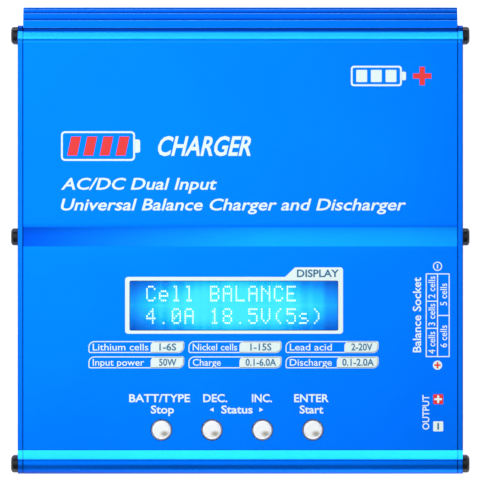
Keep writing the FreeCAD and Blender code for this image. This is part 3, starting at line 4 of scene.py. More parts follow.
import bmesh
import bpy
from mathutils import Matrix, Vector

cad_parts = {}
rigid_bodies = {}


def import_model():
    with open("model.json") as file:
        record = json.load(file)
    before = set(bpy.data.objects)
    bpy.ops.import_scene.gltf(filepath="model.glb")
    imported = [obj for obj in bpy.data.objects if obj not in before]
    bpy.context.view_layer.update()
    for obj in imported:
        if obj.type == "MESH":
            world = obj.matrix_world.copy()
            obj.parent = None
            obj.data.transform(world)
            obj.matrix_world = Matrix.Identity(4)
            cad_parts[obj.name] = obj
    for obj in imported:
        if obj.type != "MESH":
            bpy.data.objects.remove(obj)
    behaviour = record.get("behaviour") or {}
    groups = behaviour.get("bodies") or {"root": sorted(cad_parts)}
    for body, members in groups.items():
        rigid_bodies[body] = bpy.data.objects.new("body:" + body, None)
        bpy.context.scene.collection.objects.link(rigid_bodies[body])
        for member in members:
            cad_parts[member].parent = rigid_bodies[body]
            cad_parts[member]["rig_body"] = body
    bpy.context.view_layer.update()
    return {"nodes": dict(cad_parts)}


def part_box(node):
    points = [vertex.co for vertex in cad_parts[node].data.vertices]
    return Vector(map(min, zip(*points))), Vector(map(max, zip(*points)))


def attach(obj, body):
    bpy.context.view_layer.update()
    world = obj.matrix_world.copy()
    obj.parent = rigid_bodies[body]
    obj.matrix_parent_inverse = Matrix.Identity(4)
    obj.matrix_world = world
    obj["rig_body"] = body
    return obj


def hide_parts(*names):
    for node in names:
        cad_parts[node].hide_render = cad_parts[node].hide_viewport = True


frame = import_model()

nodes = frame["nodes"]
scene = bpy.context.scene
mm = 0.001


# ---------------------------------------------------------------- lower tray
# The base of the case with its finned rear wall is one aluminium extrusion, cut to length, lightly
# blasted and anodised blue. It carries the boards, and the end plates are screwed to its ends.

def add(tree, kind, inputs=None, **settings):
    """Adds a node, then sets its inputs, or links them to a socket or to another node's first output."""
    node = tree.nodes.new(kind)
    for name, value in settings.items():
        setattr(node, name, value)
    for socket, value in (inputs or {}).items():
        if isinstance(value, bpy.types.Node):
            value = value.outputs[0]
        if isinstance(value, bpy.types.NodeSocket):
            tree.links.new(value, node.inputs[socket])
        else:
            node.inputs[socket].default_value = value
    return node


def calc(tree, operation, *values):
    """Adds a node of arithmetic on numbers."""
    return add(tree, "ShaderNodeMath", dict(enumerate(values)), operation=operation)


def vector(tree, operation, *values):
    """Adds a node of arithmetic on vectors."""
    return add(tree, "ShaderNodeVectorMath", dict(enumerate(values)), operation=operation)


def length(tree, value):
    """The length of a vector."""
    return vector(tree, "LENGTH", value).outputs["Value"]


def ramped(tree, value, low, high, start=1.0, end=0.0):
    """Adds a node that runs smoothly from one number to another while a value goes from low to high."""
    return add(tree, "ShaderNodeMapRange", {0: value, 1: low, 2: high, 3: start, 4: end},
               interpolation_type="SMOOTHSTEP")


def coordinates(tree):
    """The object coordinates of a material's surface."""
    return add(tree, "ShaderNodeTexCoord").outputs["Object"]


def blended(tree, factor, first, second):
    """The colour between two colours, each given as numbers or as a socket."""
    ends = [end if isinstance(end, bpy.types.NodeSocket) else tinted(end, 1) for end in (first, second)]
    return add(tree, "ShaderNodeMix", {"Factor": factor, 6: ends[0], 7: ends[1]}, data_type="RGBA").outputs[2]


def laid_over(material, amount, colour):
    """Lays another colour over a material's own by an amount."""
    tree = material.node_tree
    base = tree.nodes["Principled BSDF"].inputs["Base Color"]
    tree.links.new(blended(tree, amount, base.links[0].from_socket, colour), base)
    return material


def tinted(colour, share):
    """A colour made lighter or darker by a share."""
    return [min(1.0, c * share) for c in colour[:3]] + [1.0]


def effect(name, inputs, outputs):
    """An empty shader group with float sockets, and its input and output nodes."""
    tree = bpy.data.node_groups.new(name, "ShaderNodeTree")
    for label, value in inputs.items():
        socket = tree.interface.new_socket(label, in_out="INPUT", socket_type="NodeSocketFloat")
        socket.default_value = value
    for label in outputs:
        tree.interface.new_socket(label, in_out="OUTPUT", socket_type="NodeSocketFloat")
    return tree, tree.nodes.new("NodeGroupInput"), tree.nodes.new("NodeGroupOutput")


def fine_grain():
    """Tiny relief of a blasted, drawn or moulded surface. Stretch draws it out along X."""
    tree, given, result = effect("fine_grain", {"Scale": 5000.0, "Stretch": 1.0}, ["Height"])
    along = calc(tree, "DIVIDE", given.outputs["Scale"], given.outputs["Stretch"])
    across = given.outputs["Scale"]
    sizes = add(tree, "ShaderNodeCombineXYZ", {0: along, 1: across, 2: across})
    scaled = vector(tree, "MULTIPLY", coordinates(tree), sizes)
    noise = add(tree, "ShaderNodeTexNoise", {"Vector": scaled, "Scale": 1.0, "Detail": 3.0, "Roughness": 0.6})
    tree.links.new(noise.outputs["Fac"], result.inputs["Height"])
    return tree


def mottling():
    """Soft uneven patches, as a dye bath, a mould or handling leaves them."""
    tree, given, result = effect("mottling", {"Scale": 60.0, "Contrast": 1.0}, ["Value"])
    noise = add(tree, "ShaderNodeTexNoise", {"Vector": coordinates(tree), "Scale": given.outputs["Scale"],
                                             "Detail": 5.0, "Roughness": 0.55})
    centred = calc(tree, "SUBTRACT", noise.outputs["Fac"], 0.5)
    value = calc(tree, "MULTIPLY_ADD", centred, given.outputs["Contrast"], 0.5)
    value.use_clamp = True
    tree.links.new(value.outputs[0], result.inputs["Value"])
    return tree


def edge_wear_and_painted_light():
    """Mask of edges, as strong as the edge attribute: real abrasion on some parts, painted shadow lines and
    painted highlights on others. Cover fills in its breaks.
    """
    tree, given, result = effect("edge_wear_and_painted_light", {"Amount": 0.5, "Scale": 900.0, "Cover": 0.0}, ["Mask"])
    edge = add(tree, "ShaderNodeAttribute", attribute_name="edge")
    noise = add(tree, "ShaderNodeTexNoise", {"Vector": coordinates(tree), "Scale": given.outputs["Scale"],
                                             "Detail": 4.0})
    patchy = add(tree, "ShaderNodeMapRange", {0: noise.outputs["Fac"], 1: 0.4, 2: 0.6})
    broken = calc(tree, "MAXIMUM", patchy, given.outputs["Cover"])
    amount = calc(tree, "MULTIPLY", edge.outputs["Fac"], given.outputs["Amount"])
    mask = calc(tree, "MULTIPLY", broken, amount)
    tree.links.new(mask.outputs[0], result.inputs["Mask"])
    return tree


GRAIN, MOTTLE, EDGE_WEAR_AND_PAINTED_LIGHT = fine_grain(), mottling(), edge_wear_and_painted_light()


def blank(name, values):
    """A new material, its node tree, and its shader with some inputs set."""
    material = bpy.data.materials.new(name)
    material.use_nodes = True
    shader = material.node_tree.nodes["Principled BSDF"]
    for label, value in values.items():
        shader.inputs[label].default_value = value
    return material, material.node_tree, shader


def finish(name, colour, rough, metallic=0.0, coat=0.0, grain=0.2 * mm, stretch=1.0, relief=0.15,
           uneven=0.08, patch=60.0, wear_and_painted_light=0.0, worn_and_painted_light=(0.6, 0.6, 0.6), cover=0.0):
    """An opaque material: uneven colour and gloss, fine relief and tinted edges over one base colour. The
    edge tint is real abrasion on small parts, painted shadow lines on the cover and end plates, and a painted
    highlight on the tray.
    """
    material, tree, shader = blank(name, {"Metallic": metallic, "Coat Weight": coat, "Coat Roughness": 0.08})
    patches = add(tree, "ShaderNodeGroup", {"Scale": patch, "Contrast": 1.6}, node_tree=MOTTLE)
    base = blended(tree, patches, tinted(colour, 1 - uneven), tinted(colour, 1 + uneven))
    rubbed_and_painted_light = add(tree, "ShaderNodeGroup", {"Amount": wear_and_painted_light, "Cover": cover}, node_tree=EDGE_WEAR_AND_PAINTED_LIGHT)
    tree.links.new(blended(tree, rubbed_and_painted_light, base, worn_and_painted_light), shader.inputs["Base Color"])
    dull, bright = min(1.0, rough * 1.12), rough * 0.88
    gloss = add(tree, "ShaderNodeMapRange", {0: patches, 3: bright, 4: dull})
    tree.links.new(gloss.outputs[0], shader.inputs["Roughness"])
    fine = add(tree, "ShaderNodeGroup", {"Scale": 1 / grain, "Stretch": stretch}, node_tree=GRAIN)
    bump = add(tree, "ShaderNodeBump", {"Strength": relief, "Distance": 0.3 * grain, "Height": fine})
    tree.links.new(bump.outputs[0], shader.inputs["Normal"])
    return material


def flat_join(mesh, cuts):
    """Merges a mesh's loose triangles, joins those that lie in one plane and cuts it across Y."""
    shape = bmesh.new()
    shape.from_mesh(mesh)
    bmesh.ops.remove_doubles(shape, verts=shape.verts, dist=0.002 * mm)
    bmesh.ops.dissolve_limit(shape, angle_limit=math.radians(0.4), verts=shape.verts, edges=shape.edges)
    for y in cuts:
        everything = shape.verts[:] + shape.edges[:] + shape.faces[:]
        bmesh.ops.bisect_plane(shape, geom=everything, plane_co=(0, y, 0), plane_no=(0, 1, 0),
                               dist=0.001 * mm)
    shape.to_mesh(mesh)
    shape.free()


def in_scene(name, data):
    """A new object, put into the scene."""
    piece = bpy.data.objects.new(name, data)
    scene.collection.objects.link(piece)
    return piece


def evaluated(piece):
    """The plain mesh of an object with its modifiers, or of a text."""
    return bpy.data.meshes.new_from_object(piece.evaluated_get(bpy.context.evaluated_depsgraph_get()))


def broken_edges(node, name, material, width, cuts=()):
    """A copy of a CAD part with its sharp edges broken by a small bevel, which it then stands for."""
    mesh = nodes[node].data.copy()
    mesh.materials.clear()
    mesh.materials.append(material)
    mesh.materials.append(material)
    flat_join(mesh, cuts)
    piece = in_scene(name, mesh)
    bevel = piece.modifiers.new("bevel", "BEVEL")
    bevel.width = width
    bevel.segments = 2
    bevel.limit_method = "ANGLE"
    bevel.angle_limit = math.radians(40)
    bevel.use_clamp_overlap = False
    bevel.material = 1
    bevel.miter_outer = "MITER_ARC"
    shown = evaluated(piece)
    edge = shown.attributes.new("edge", "FLOAT", "FACE")
    for face in shown.polygons:
        edge.data[face.index].value = face.material_index
        face.material_index = 0
        face.use_smooth = True
    shown.materials.pop(index=1)
    shown.set_sharp_from_angle(angle=math.radians(28))
    piece.modifiers.clear()
    piece.data = shown
    level = piece.modifiers.new("level", "WEIGHTED_NORMAL")
    level.keep_sharp = True
    level.weight = 100
    shown = evaluated(piece)
    piece.modifiers.clear()
    piece.data = shown
    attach(piece, nodes[node]["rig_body"])
    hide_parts(node)
    return piece


# The case's anodised blue, and a deep blue that is painted shade: shadow lines on bevelled edges and darkened
# rounded corners.
BLUE, PAINTED_SHADE_BLUE = (0.001, 0.165, 0.95), (0.0, 0.012, 0.14)


def mixed_in(material, attribute, colour, share=1.0):
    """Lays another colour over a material's own where an attribute of the mesh says so."""
    tree = material.node_tree
    where = add(tree, "ShaderNodeAttribute", attribute_name=attribute)
    return laid_over(material, calc(tree, "MULTIPLY", where.outputs["Fac"], share), colour)


def fin_tips():
    """Y of each step of the fins' staircase as seen from above, with the height of that fin's top."""
    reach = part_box("lower_tray")[1].y
    fin_length = 4.3 * mm
    heights = {}
    for vert in nodes["lower_tray"].data.vertices:
        if vert.co.y > reach - fin_length:
            y = round(vert.co.y, 6)
            heights[y] = max(heights.get(y, 0), vert.co.z)
    return sorted(heights.items())


tips = fin_tips()
deep, clear_of = 0.12 * mm, 0.85 * mm
LEDGE_SHADE, LEAST_SHADE = 0.21, 0.48
# Painted highlight: the tray's bevelled edges take a lighter blue, broken in patches. Painted shade: its blue
# deepens where the shade attribute is set, on the fins and behind the cover.
anodised = finish("anodised_blue", BLUE, 0.36, metallic=1.0, grain=0.12 * mm, relief=0.12, uneven=0.025,
                  patch=25.0, wear_and_painted_light=0.6, worn_and_painted_light=(0.06, 0.36, 1.0), cover=0.5)
mixed_in(anodised, "shade", (0.0, 0.03, 0.26), 0.9)
tray = broken_edges("lower_tray", "finned_tray", anodised, 0.22 * mm,
                    [y + step for y, _ in tips[:-1] for step in (deep, clear_of)])
shade = tray.data.attributes.new("shade", "FLOAT", "POINT")
ledge, cover_rear = tips[0][1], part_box("upper_cover")[1].y
near = 0.05 * mm

# Painted shade: the tops of the fins are darker towards the fin above, which would shade them, and the seam
# behind the cover is painted darkest.
for vert in tray.data.vertices:
    y, z = vert.co.y, vert.co.z
    if abs(z - ledge) < near and y > cover_rear:
        shade.data[vert.index].value = LEDGE_SHADE
    for (above, _), (_, height) in zip(tips, tips[1:]):
        if abs(z - height) < near:
            covered = (above + clear_of - y) / (clear_of - deep)
            shade.data[vert.index].value = min(1, max(LEAST_SHADE, covered))
    if abs(y - cover_rear) < 1.2 * mm and 0.5 * mm < ledge - z < 1.5 * mm:
        shade.data[vert.index].value = 1


# ---------------------------------------------------------------- rubber feet
# Four round feet of black rubber, glued under the tray, with a rounded lower rim.

def dress(node, material):
    """Gives a CAD part that keeps its shape its real material."""
    part = nodes[node]
    part.data.materials.clear()
    part.data.materials.append(material)
    return part


foot_rubber = finish("foot_rubber", (0.02, 0.02, 0.021), 0.75, grain=0.25 * mm, relief=0.4, uneven=0.2)
dress("rubber_feet", foot_rubber)


# ---------------------------------------------------------------- boards
# Green fibreglass boards with solder mask over copper tracks. They stand on brass spacers, and the
# screws that hold them are zinc plated.

def board_mask():
    """Solder mask, lighter where tracks run under it, with the weave of the laminate."""
    material = finish("solder_mask", (0.01, 0.16, 0.07), 0.32, coat=0.4, grain=0.5 * mm, relief=0.2,
                      uneven=0.15)
    tree = material.node_tree
    tracks = add(tree, "ShaderNodeTexBrick", {
        "Vector": coordinates(tree), "Color1": (0, 0, 0, 1), "Color2": (0, 0, 0, 1), "Mortar": (1, 1, 1, 1),
        "Scale": 90.0, "Mortar Size": 0.035, "Brick Width": 0.9, "Row Height": 0.22})
    return laid_over(material, tracks.outputs["Color"], (0.05, 0.32, 0.13))


mask = board_mask()
for name in ("main_board", "control_board", "supply_board", "balance_board", "lcd_board"):
    dress(name, mask)
brass = finish("turned_brass", (0.78, 0.56, 0.22), 0.3, metallic=1.0, grain=0.08 * mm, stretch=0.2,
               relief=0.2)
zinc = finish("zinc_plate", (0.62, 0.63, 0.62), 0.28, metallic=1.0, grain=0.1 * mm, relief=0.15, uneven=0.06)
dress("board_standoffs", brass)
dress("board_screws", zinc)


# ---------------------------------------------------------------- parts on the boards
# Chips, transistors, capacitors, chokes and the transformer, all soldered by their leads. The power
# transistors are screwed to the finned wall over grey silicone pads.

epoxy = finish("chip_epoxy", (0.018, 0.018, 0.019), 0.55, grain=0.06 * mm, relief=0.35, uneven=0.2)
silicone = finish("silicone_pad", (0.42, 0.43, 0.44), 0.8, grain=0.3 * mm, relief=0.3)
ferrite = finish("sintered_ferrite", (0.035, 0.035, 0.037), 0.6, grain=0.2 * mm, relief=0.4, uneven=0.2)
powder = finish("painted_iron_powder", (0.72, 0.6, 0.06), 0.45, grain=0.3 * mm, relief=0.25, coat=0.3)
tape = finish("polyester_tape", (0.82, 0.58, 0.04), 0.3, grain=0.6 * mm, stretch=6.0, relief=0.2, coat=0.3)
sleeve = finish("capacitor_sleeve", (0.03, 0.04, 0.1), 0.35, grain=0.4 * mm, relief=0.15, coat=0.3)
wire_skin = finish("wire_insulation", (0.03, 0.03, 0.03), 0.4, grain=0.4 * mm, relief=0.2)
for name in ("control_chips", "buzzer", "power_transistors"):
    dress(name, epoxy)
dress("transistor_pads", silicone)
dress("transformer_core", ferrite)
dress("transformer_winding", tape)
dress("inductor_cores", powder)
dress("electrolytic_capacitors", sleeve)
dress("mains_wires", wire_skin)


def geometry_tree(name, inputs):
    """An empty geometry group with named inputs, and its input and output nodes."""
    tree = bpy.data.node_groups.new(name, "GeometryNodeTree")
    tree.interface.new_socket("Geometry", in_out="INPUT", socket_type="NodeSocketGeometry")
    for label, kind in inputs.items():
        tree.interface.new_socket(label, in_out="INPUT", socket_type="NodeSocket" + kind)
    tree.interface.new_socket("Geometry", in_out="OUTPUT", socket_type="NodeSocketGeometry")
    return tree, tree.nodes.new("NodeGroupInput"), tree.nodes.new("NodeGroupOutput")


def painted(tree, given, result, geometry):
    """Ends a geometry tree: gives its geometry the material it was called with and hands it out."""
    done = add(tree, "GeometryNodeSetMaterial", {0: geometry, "Material": given.outputs["Material"]})
    tree.links.new(done.outputs[0], result.inputs[0])
    return tree


def grown(name, tree, values, points=(), turns=()):
    """The plain mesh that a geometry tree makes from some points, without loose corners, as a new object."""
    start = bpy.data.meshes.new(name + "_points")
    start.from_pydata([tuple(p) for p in points], [], [])
    if turns:
        turn = start.attributes.new("turn", "FLOAT_VECTOR", "POINT")
        for i, angles in enumerate(turns):
            turn.data[i].vector = angles
    seed = in_scene(name + "_seed", start)
    modifier = seed.modifiers.new("tree", "NODES")
    modifier.node_group = tree
    sockets = {s.name: s.identifier for s in tree.interface.items_tree if s.in_out == "INPUT"}
    for label, value in values.items():
        modifier[sockets[label]] = value
    seed.update_tag()
    mesh = evaluated(seed)
    seed.modifiers.remove(modifier)
    bpy.data.objects.remove(seed)
    shape = bmesh.new()
    shape.from_mesh(mesh)
    bmesh.ops.delete(shape, geom=[v for v in shape.verts if not v.link_faces], context="VERTS")
    shape.to_mesh(mesh)
    shape.free()
    return in_scene(name, mesh)


def wound_ring():
    """Turns of round wire about a ring core that lies flat, evenly laid with a little unevenness."""
    tree, given, result = geometry_tree("wound_ring", {
        "Middle": "Vector", "Ring Radius": "Float", "Loop Width": "Float", "Loop Height": "Float",
        "Wire Radius": "Float", "Turns": "Int", "Sweep": "Float", "Unevenness": "Float", "Seed": "Int",
        "Material": "Material"})
    ring = add(tree, "GeometryNodeCurveArc", {
        "Resolution": given.outputs["Turns"], "Radius": given.outputs["Ring Radius"], "Start Angle": 0.4,
        "Sweep Angle": given.outputs["Sweep"]})
    loop = add(tree, "GeometryNodeCurvePrimitiveQuadrilateral", {
        "Width": given.outputs["Loop Width"], "Height": given.outputs["Loop Height"]})
    rounded = add(tree, "GeometryNodeFilletCurve", {"Curve": loop, "Radius": 1.1 * mm, "Limit Radius": True},
                  mode="POLY")
    rounded.inputs["Count"].default_value = 3
    jitter = add(tree, "FunctionNodeRandomValue", {2: -1.0, 3: 1.0, "Seed": given.outputs["Seed"]})
    lean = calc(tree, "MULTIPLY", jitter.outputs[1], given.outputs["Unevenness"])
    along = add(tree, "GeometryNodeInputTangent")
    turned = add(tree, "FunctionNodeAlignRotationToVector", {"Vector": along}, axis="Z", pivot_axis="AUTO")
    tipped = add(tree, "ShaderNodeCombineXYZ", {0: lean})
    tip = add(tree, "FunctionNodeEulerToRotation", {0: tipped})
    both = add(tree, "FunctionNodeRotateRotation", {0: turned, 1: tip}, rotation_space="LOCAL")
    laid = add(tree, "GeometryNodeInstanceOnPoints", {"Points": ring, "Instance": rounded, "Rotation": both})
    real = add(tree, "GeometryNodeRealizeInstances", {0: laid})
    wire = add(tree, "GeometryNodeCurvePrimitiveCircle", {
        "Resolution": 8, "Radius": given.outputs["Wire Radius"]})
    solid = add(tree, "GeometryNodeCurveToMesh", {"Curve": real, "Profile Curve": wire})
    moved = add(tree, "GeometryNodeTransform", {"Geometry": solid, "Translation": given.outputs["Middle"]})
    return painted(tree, given, result, add(tree, "GeometryNodeSetShadeSmooth", {0: moved}))


def islands(node):
    """Lowest and highest corner of each separate solid of a CAD part."""
    shape = bmesh.new()
    shape.from_mesh(nodes[node].data)
    bmesh.ops.remove_doubles(shape, verts=shape.verts, dist=0.002 * mm)
    left, boxes = set(shape.verts), []
    while left:
        found, queue = [], [left.pop()]
        while queue:
            vert = queue.pop()
            found.append(vert.co.copy())
            for edge in vert.link_edges:
                other = edge.other_vert(vert)
                if other in left:
                    left.remove(other)
                    queue.append(other)
        low = Vector([min(p[i] for p in found) for i in range(3)])
        high = Vector([max(p[i] for p in found) for i in range(3)])
        boxes.append((low, high))
    shape.free()
    return sorted(boxes, key=lambda box: tuple(round(c, 5) for c in box[0]))


enamel = finish("enamelled_copper", (0.72, 0.25, 0.08), 0.25, metallic=0.9, coat=0.5, grain=0.5 * mm,
                relief=0.1)
WOUND = wound_ring()


def winding(name, box, core, wire_radius, turns, seed):
    """One choke's winding, as wide as its CAD sleeve."""
    low, high = box
    core_low, core_high = core
    outer = (high.x - low.x) / 2 - wire_radius
    core_width = 4.4 * mm
    inner = core_high.x - core_low.x - outer - core_width
    middle = Vector(((core_low.x + core_high.x) / 2, (core_low.y + core_high.y) / 2, (low.z + high.z) / 2))
    return grown(name, WOUND, {
        "Middle": middle, "Ring Radius": (outer + inner) / 2, "Loop Width": outer - inner,
        "Loop Height": high.z - low.z - 2 * wire_radius, "Wire Radius": wire_radius, "Turns": turns,
        "Sweep": math.radians(318), "Unevenness": 0.03, "Seed": seed, "Material": enamel})


chokes = zip(islands("inductor_windings"), islands("inductor_cores"))
coils = [winding("choke_winding_%d" % (i + 1), around, core, 0.55 * mm, 30, 11 + i)
         for i, (around, core) in enumerate(chokes)]
for coil in coils:
    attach(coil, "root")
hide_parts("inductor_windings")


# ---------------------------------------------------------------- end plates
# Two pressed sheets of aluminium, anodised with the case, that close its ends. Sockets, the fan's
# grille and the exhaust slots are punched through them.

# A paler blue, painted on the sloping edges as a highlight.
PAINTED_HIGHLIGHT_BLUE = (0.006, 0.31, 1.0)
cover_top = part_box("upper_cover")[1].z
plate_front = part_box("left_end_plate")[0].y
on_ledge = [v.co.y for v in nodes["upper_cover"].data.vertices if abs(v.co.z - ledge) < 0.02 * mm]
front_foot = max(y for y in on_ledge if y < 0)
front_rounding, rear_rounding = 3.0 * mm, 1.6 * mm
slope_fade = 0.85 * mm
right_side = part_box("right_end_plate")[1].x
rear_brow = cover_rear - 2.0 * mm
slope_cuts = [front_foot + slope_fade, cover_rear - slope_fade, rear_brow]


def slope_share(point):
    """How much painted highlight pales the blue at a point of a sloping edge. It deepens towards the slope's
    foot and brow.
    """
    if point.y > 0:
        foot, brow, most = cover_rear - point.y, 1 - (rear_brow - point.y) / (2.5 * mm), 0.6
    else:
        foot, brow, most = point.y - front_foot, (cover_top - point.z) / (0.13 * mm), 1.0
    return most * min(1, max(0, brow), 0.4 + 0.6 * max(0, foot / slope_fade))


def corner_share(point):
    """How much painted shade darkens the blue on the rounded corner beyond a ledge. It clears again on the
    upright face.
    """
    at_front = point.y < 0
    radius = front_rounding if at_front else rear_rounding
    turn = math.degrees(math.acos(min(1, max(-1, 1 - (ledge - point.z) / radius))))
    rise = (turn - 24) / 16 if at_front else 1
    share = min(1, max(0, rise), max(0, (90 - turn) / 12))
    # At the front the painted shade is darker towards the left.
    return share * (0.72 - 0.28 * point.x / right_side if at_front else 1)


def marked_outline(piece):
    """Marks where the sloping edges of the case's outline get a painted highlight, and where the rounded
    corners beyond its ledges get a painted shade.
    """
    slope = piece.data.attributes.new("slope", "FLOAT", "CORNER")
    corner = piece.data.attributes.new("corner", "FLOAT", "CORNER")
    for face in piece.data.polygons:
        middle, normal = face.center, face.normal
        if abs(normal.x) > 0.7 or normal.z < -0.05:
            continue
        at_an_end = middle.y < front_foot + 4 * mm or middle.y > cover_rear - 4 * mm
        on_slope = middle.z > ledge + 0.1 * mm and normal.z < 0.999 and at_an_end
        at_front = middle.y < plate_front + front_rounding + 0.05 * mm and middle.z > ledge - front_rounding
        at_rear = middle.y > cover_rear and middle.z > ledge - rear_rounding
        on_corner = middle.z < ledge + 0.02 * mm and (at_front or at_rear)
        for loop in face.loop_indices:
            point = piece.data.vertices[piece.data.loops[loop].vertex_index].co
            if on_slope:
                slope.data[loop].value = slope_share(point)
            elif on_corner:
                corner.data[loop].value = corner_share(point)
    return piece


def outline_blues(material):
    """Painted highlight of paler blue on the sloping edges, and painted shade of darker blue on the rounded
    corners.
    """
    mixed_in(material, "slope", PAINTED_HIGHLIGHT_BLUE)
    return mixed_in(material, "corner", PAINTED_SHADE_BLUE, 0.8)


# The end plates' bevelled edges are painted deep blue as shadow lines, and their outline takes the painted
# highlight and shade.
sheet = outline_blues(finish(
    "anodised_sheet", (0.002, 0.15, 0.84), 0.38, metallic=1.0, grain=0.15 * mm, stretch=5.0, relief=0.14,
    uneven=0.03, patch=30.0, wear_and_painted_light=0.85, worn_and_painted_light=PAINTED_SHADE_BLUE, cover=1.0))
for side in ("left", "right"):
    marked_outline(broken_edges(side + "_end_plate", side + "_plate", sheet, 0.16 * mm,
                                slope_cuts))


# ---------------------------------------------------------------- upper cover
# The second extrusion: top face with its shallow groove, sloping edges and front wall. It is anodised
# with the tray, and the display opening and key holes are milled through it.

def channel_blue():
    """The case's blue with painted shadow lines along its bevelled edges; in the groove painted light, deep
    blue at the left paling to a lighter blue towards the right; and plain case blue laid over the groove's
    front-facing flank.
    """
    # Painted shadow lines: the cover's bevelled edges take the deep blue.
    material = finish("anodised_cover", BLUE, 0.36, metallic=1.0, grain=0.12 * mm, relief=0.12, uneven=0.025,
                      patch=25.0, wear_and_painted_light=0.85, worn_and_painted_light=PAINTED_SHADE_BLUE, cover=1.0)
    tree = material.node_tree
    low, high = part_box("upper_cover")
    parts = add(tree, "ShaderNodeSeparateXYZ", {0: coordinates(tree)})
    along = add(tree, "ShaderNodeMapRange", {0: parts.outputs["X"], 1: low.x, 2: high.x * 0.15})
    # Painted light in the groove: shade at the left, paling to a highlight towards the right.
    mixed_in(material, "channel", blended(tree, along, (0.001, 0.068, 0.6), (0.004, 0.28, 1.0)))
    mixed_in(material, "flank", (0.001, 0.16, 0.95))
    return outline_blues(material)


cover = marked_outline(broken_edges("upper_cover", "top_cover", channel_blue(), 0.16 * mm,
                                    slope_cuts))
channel = cover.data.attributes.new("channel", "FLOAT", "FACE")
flank = cover.data.attributes.new("flank", "FLOAT", "FACE")
for face in cover.data.polygons:
    if 0.15 * mm < cover_top - face.center.z < 1.0 * mm and abs(face.center.y) < 10 * mm:
        channel.data[face.index].value = face.normal.z > 0.95
        flank.data[face.index].value = face.normal.y < -0.3 and face.normal.z > 0.6


# ---------------------------------------------------------------- end plate screws
# Black oxide pan head screws with cross recesses, six in each end plate.

oxide = finish("black_oxide", (0.004, 0.004, 0.005), 0.26, grain=0.15 * mm, relief=0.3, uneven=0.25,
               wear_and_painted_light=0.15, worn_and_painted_light=(0.06, 0.06, 0.06))
oxide.node_tree.nodes["Principled BSDF"].inputs["Specular IOR Level"].default_value = 0.22


def cross_screw():
    """Screws with a domed head and a cross recess, one on every point, each turned at random."""
    tree, given, result = geometry_tree("cross_screw", {
        "Head Radius": "Float", "Head Height": "Float", "Crown": "Float", "Shank Radius": "Float",
        "Shank Length": "Float", "Recess Width": "Float", "Recess Depth": "Float", "Seed": "Int",
        "Material": "Material"})
    radius, height = given.outputs["Head Radius"], given.outputs["Head Height"]
    half = calc(tree, "MULTIPLY", height, 0.5)
    up = add(tree, "ShaderNodeCombineXYZ", {2: half})
    disc = add(tree, "GeometryNodeMeshCylinder", {"Vertices": 40, "Side Segments": 3, "Fill Segments": 7,
                                                  "Radius": radius, "Depth": height})
    head = add(tree, "GeometryNodeTransform", {"Geometry": disc, "Translation": up})
    place = add(tree, "GeometryNodeInputPosition")
    flat = vector(tree, "MULTIPLY", place, (1, 1, 0))
    out = length(tree, flat)
    share = calc(tree, "DIVIDE", out, radius)
    rim = calc(tree, "POWER", share, 9.0)
    parts = add(tree, "ShaderNodeSeparateXYZ", {0: place})
    drop = calc(tree, "MULTIPLY", rim, given.outputs["Crown"])
    fall = calc(tree, "MULTIPLY", drop, parts.outputs["Z"])
    down = calc(tree, "MULTIPLY", fall, -1.0)
    shift = add(tree, "ShaderNodeCombineXYZ", {2: down})
    domed = add(tree, "GeometryNodeSetPosition", {"Geometry": head, "Offset": shift})
    marked = add(tree, "GeometryNodeStoreNamedAttribute", {"Geometry": domed, "Name": "edge", "Value": rim},
                 data_type="FLOAT", domain="POINT")
    width, depth = given.outputs["Recess Width"], given.outputs["Recess Depth"]
    slot_depth = calc(tree, "MULTIPLY", depth, 2.0)
    slot_width = calc(tree, "MULTIPLY", width, 0.24)
    high = add(tree, "ShaderNodeCombineXYZ", {2: height})
    slots = []
    for sizes in ((width, slot_width), (slot_width, width)):
        size = add(tree, "ShaderNodeCombineXYZ", {0: sizes[0], 1: sizes[1], 2: slot_depth})
        bar = add(tree, "GeometryNodeMeshCube", {"Size": size})
        slots.append(add(tree, "GeometryNodeTransform", {"Geometry": bar, "Translation": high}))
    both = add(tree, "GeometryNodeMeshBoolean", operation="UNION")
    recessed = add(tree, "GeometryNodeMeshBoolean", {"Mesh 1": marked}, operation="DIFFERENCE")
    for slot in slots:
        tree.links.new(slot.outputs[0], both.inputs["Mesh 2"])
    tree.links.new(both.outputs["Mesh"], recessed.inputs["Mesh 2"])
    sunk = calc(tree, "MULTIPLY", given.outputs["Shank Length"], -0.5)
    below = add(tree, "ShaderNodeCombineXYZ", {2: sunk})
    stem = add(tree, "GeometryNodeMeshCylinder", {"Vertices": 24, "Radius": given.outputs["Shank Radius"],
                                                  "Depth": given.outputs["Shank Length"]})
    shank = add(tree, "GeometryNodeTransform", {"Geometry": stem, "Translation": below})
    whole = add(tree, "GeometryNodeJoinGeometry")
    for part in (recessed, shank):
        tree.links.new(part.outputs[0], whole.inputs[0])
    turn = add(tree, "GeometryNodeInputNamedAttribute", {"Name": "turn"}, data_type="FLOAT_VECTOR")
    turned = add(tree, "FunctionNodeEulerToRotation", {0: turn.outputs["Attribute"]})
    any_way = add(tree, "FunctionNodeRandomValue", {2: 0.0, 3: math.pi / 2, "Seed": given.outputs["Seed"]})
    spin = add(tree, "ShaderNodeCombineXYZ", {2: any_way.outputs[1]})
    driven = add(tree, "FunctionNodeEulerToRotation", {0: spin})
    facing = add(tree, "FunctionNodeRotateRotation", {0: turned, 1: driven}, rotation_space="LOCAL")
    laid = add(tree, "GeometryNodeInstanceOnPoints", {
        "Points": given.outputs["Geometry"], "Instance": whole, "Rotation": facing})
    real = add(tree, "GeometryNodeRealizeInstances", {0: laid})
    return painted(tree, given, result, add(tree, "GeometryNodeSetShadeSmooth", {0: real}))


CROSS_SCREW = cross_screw()


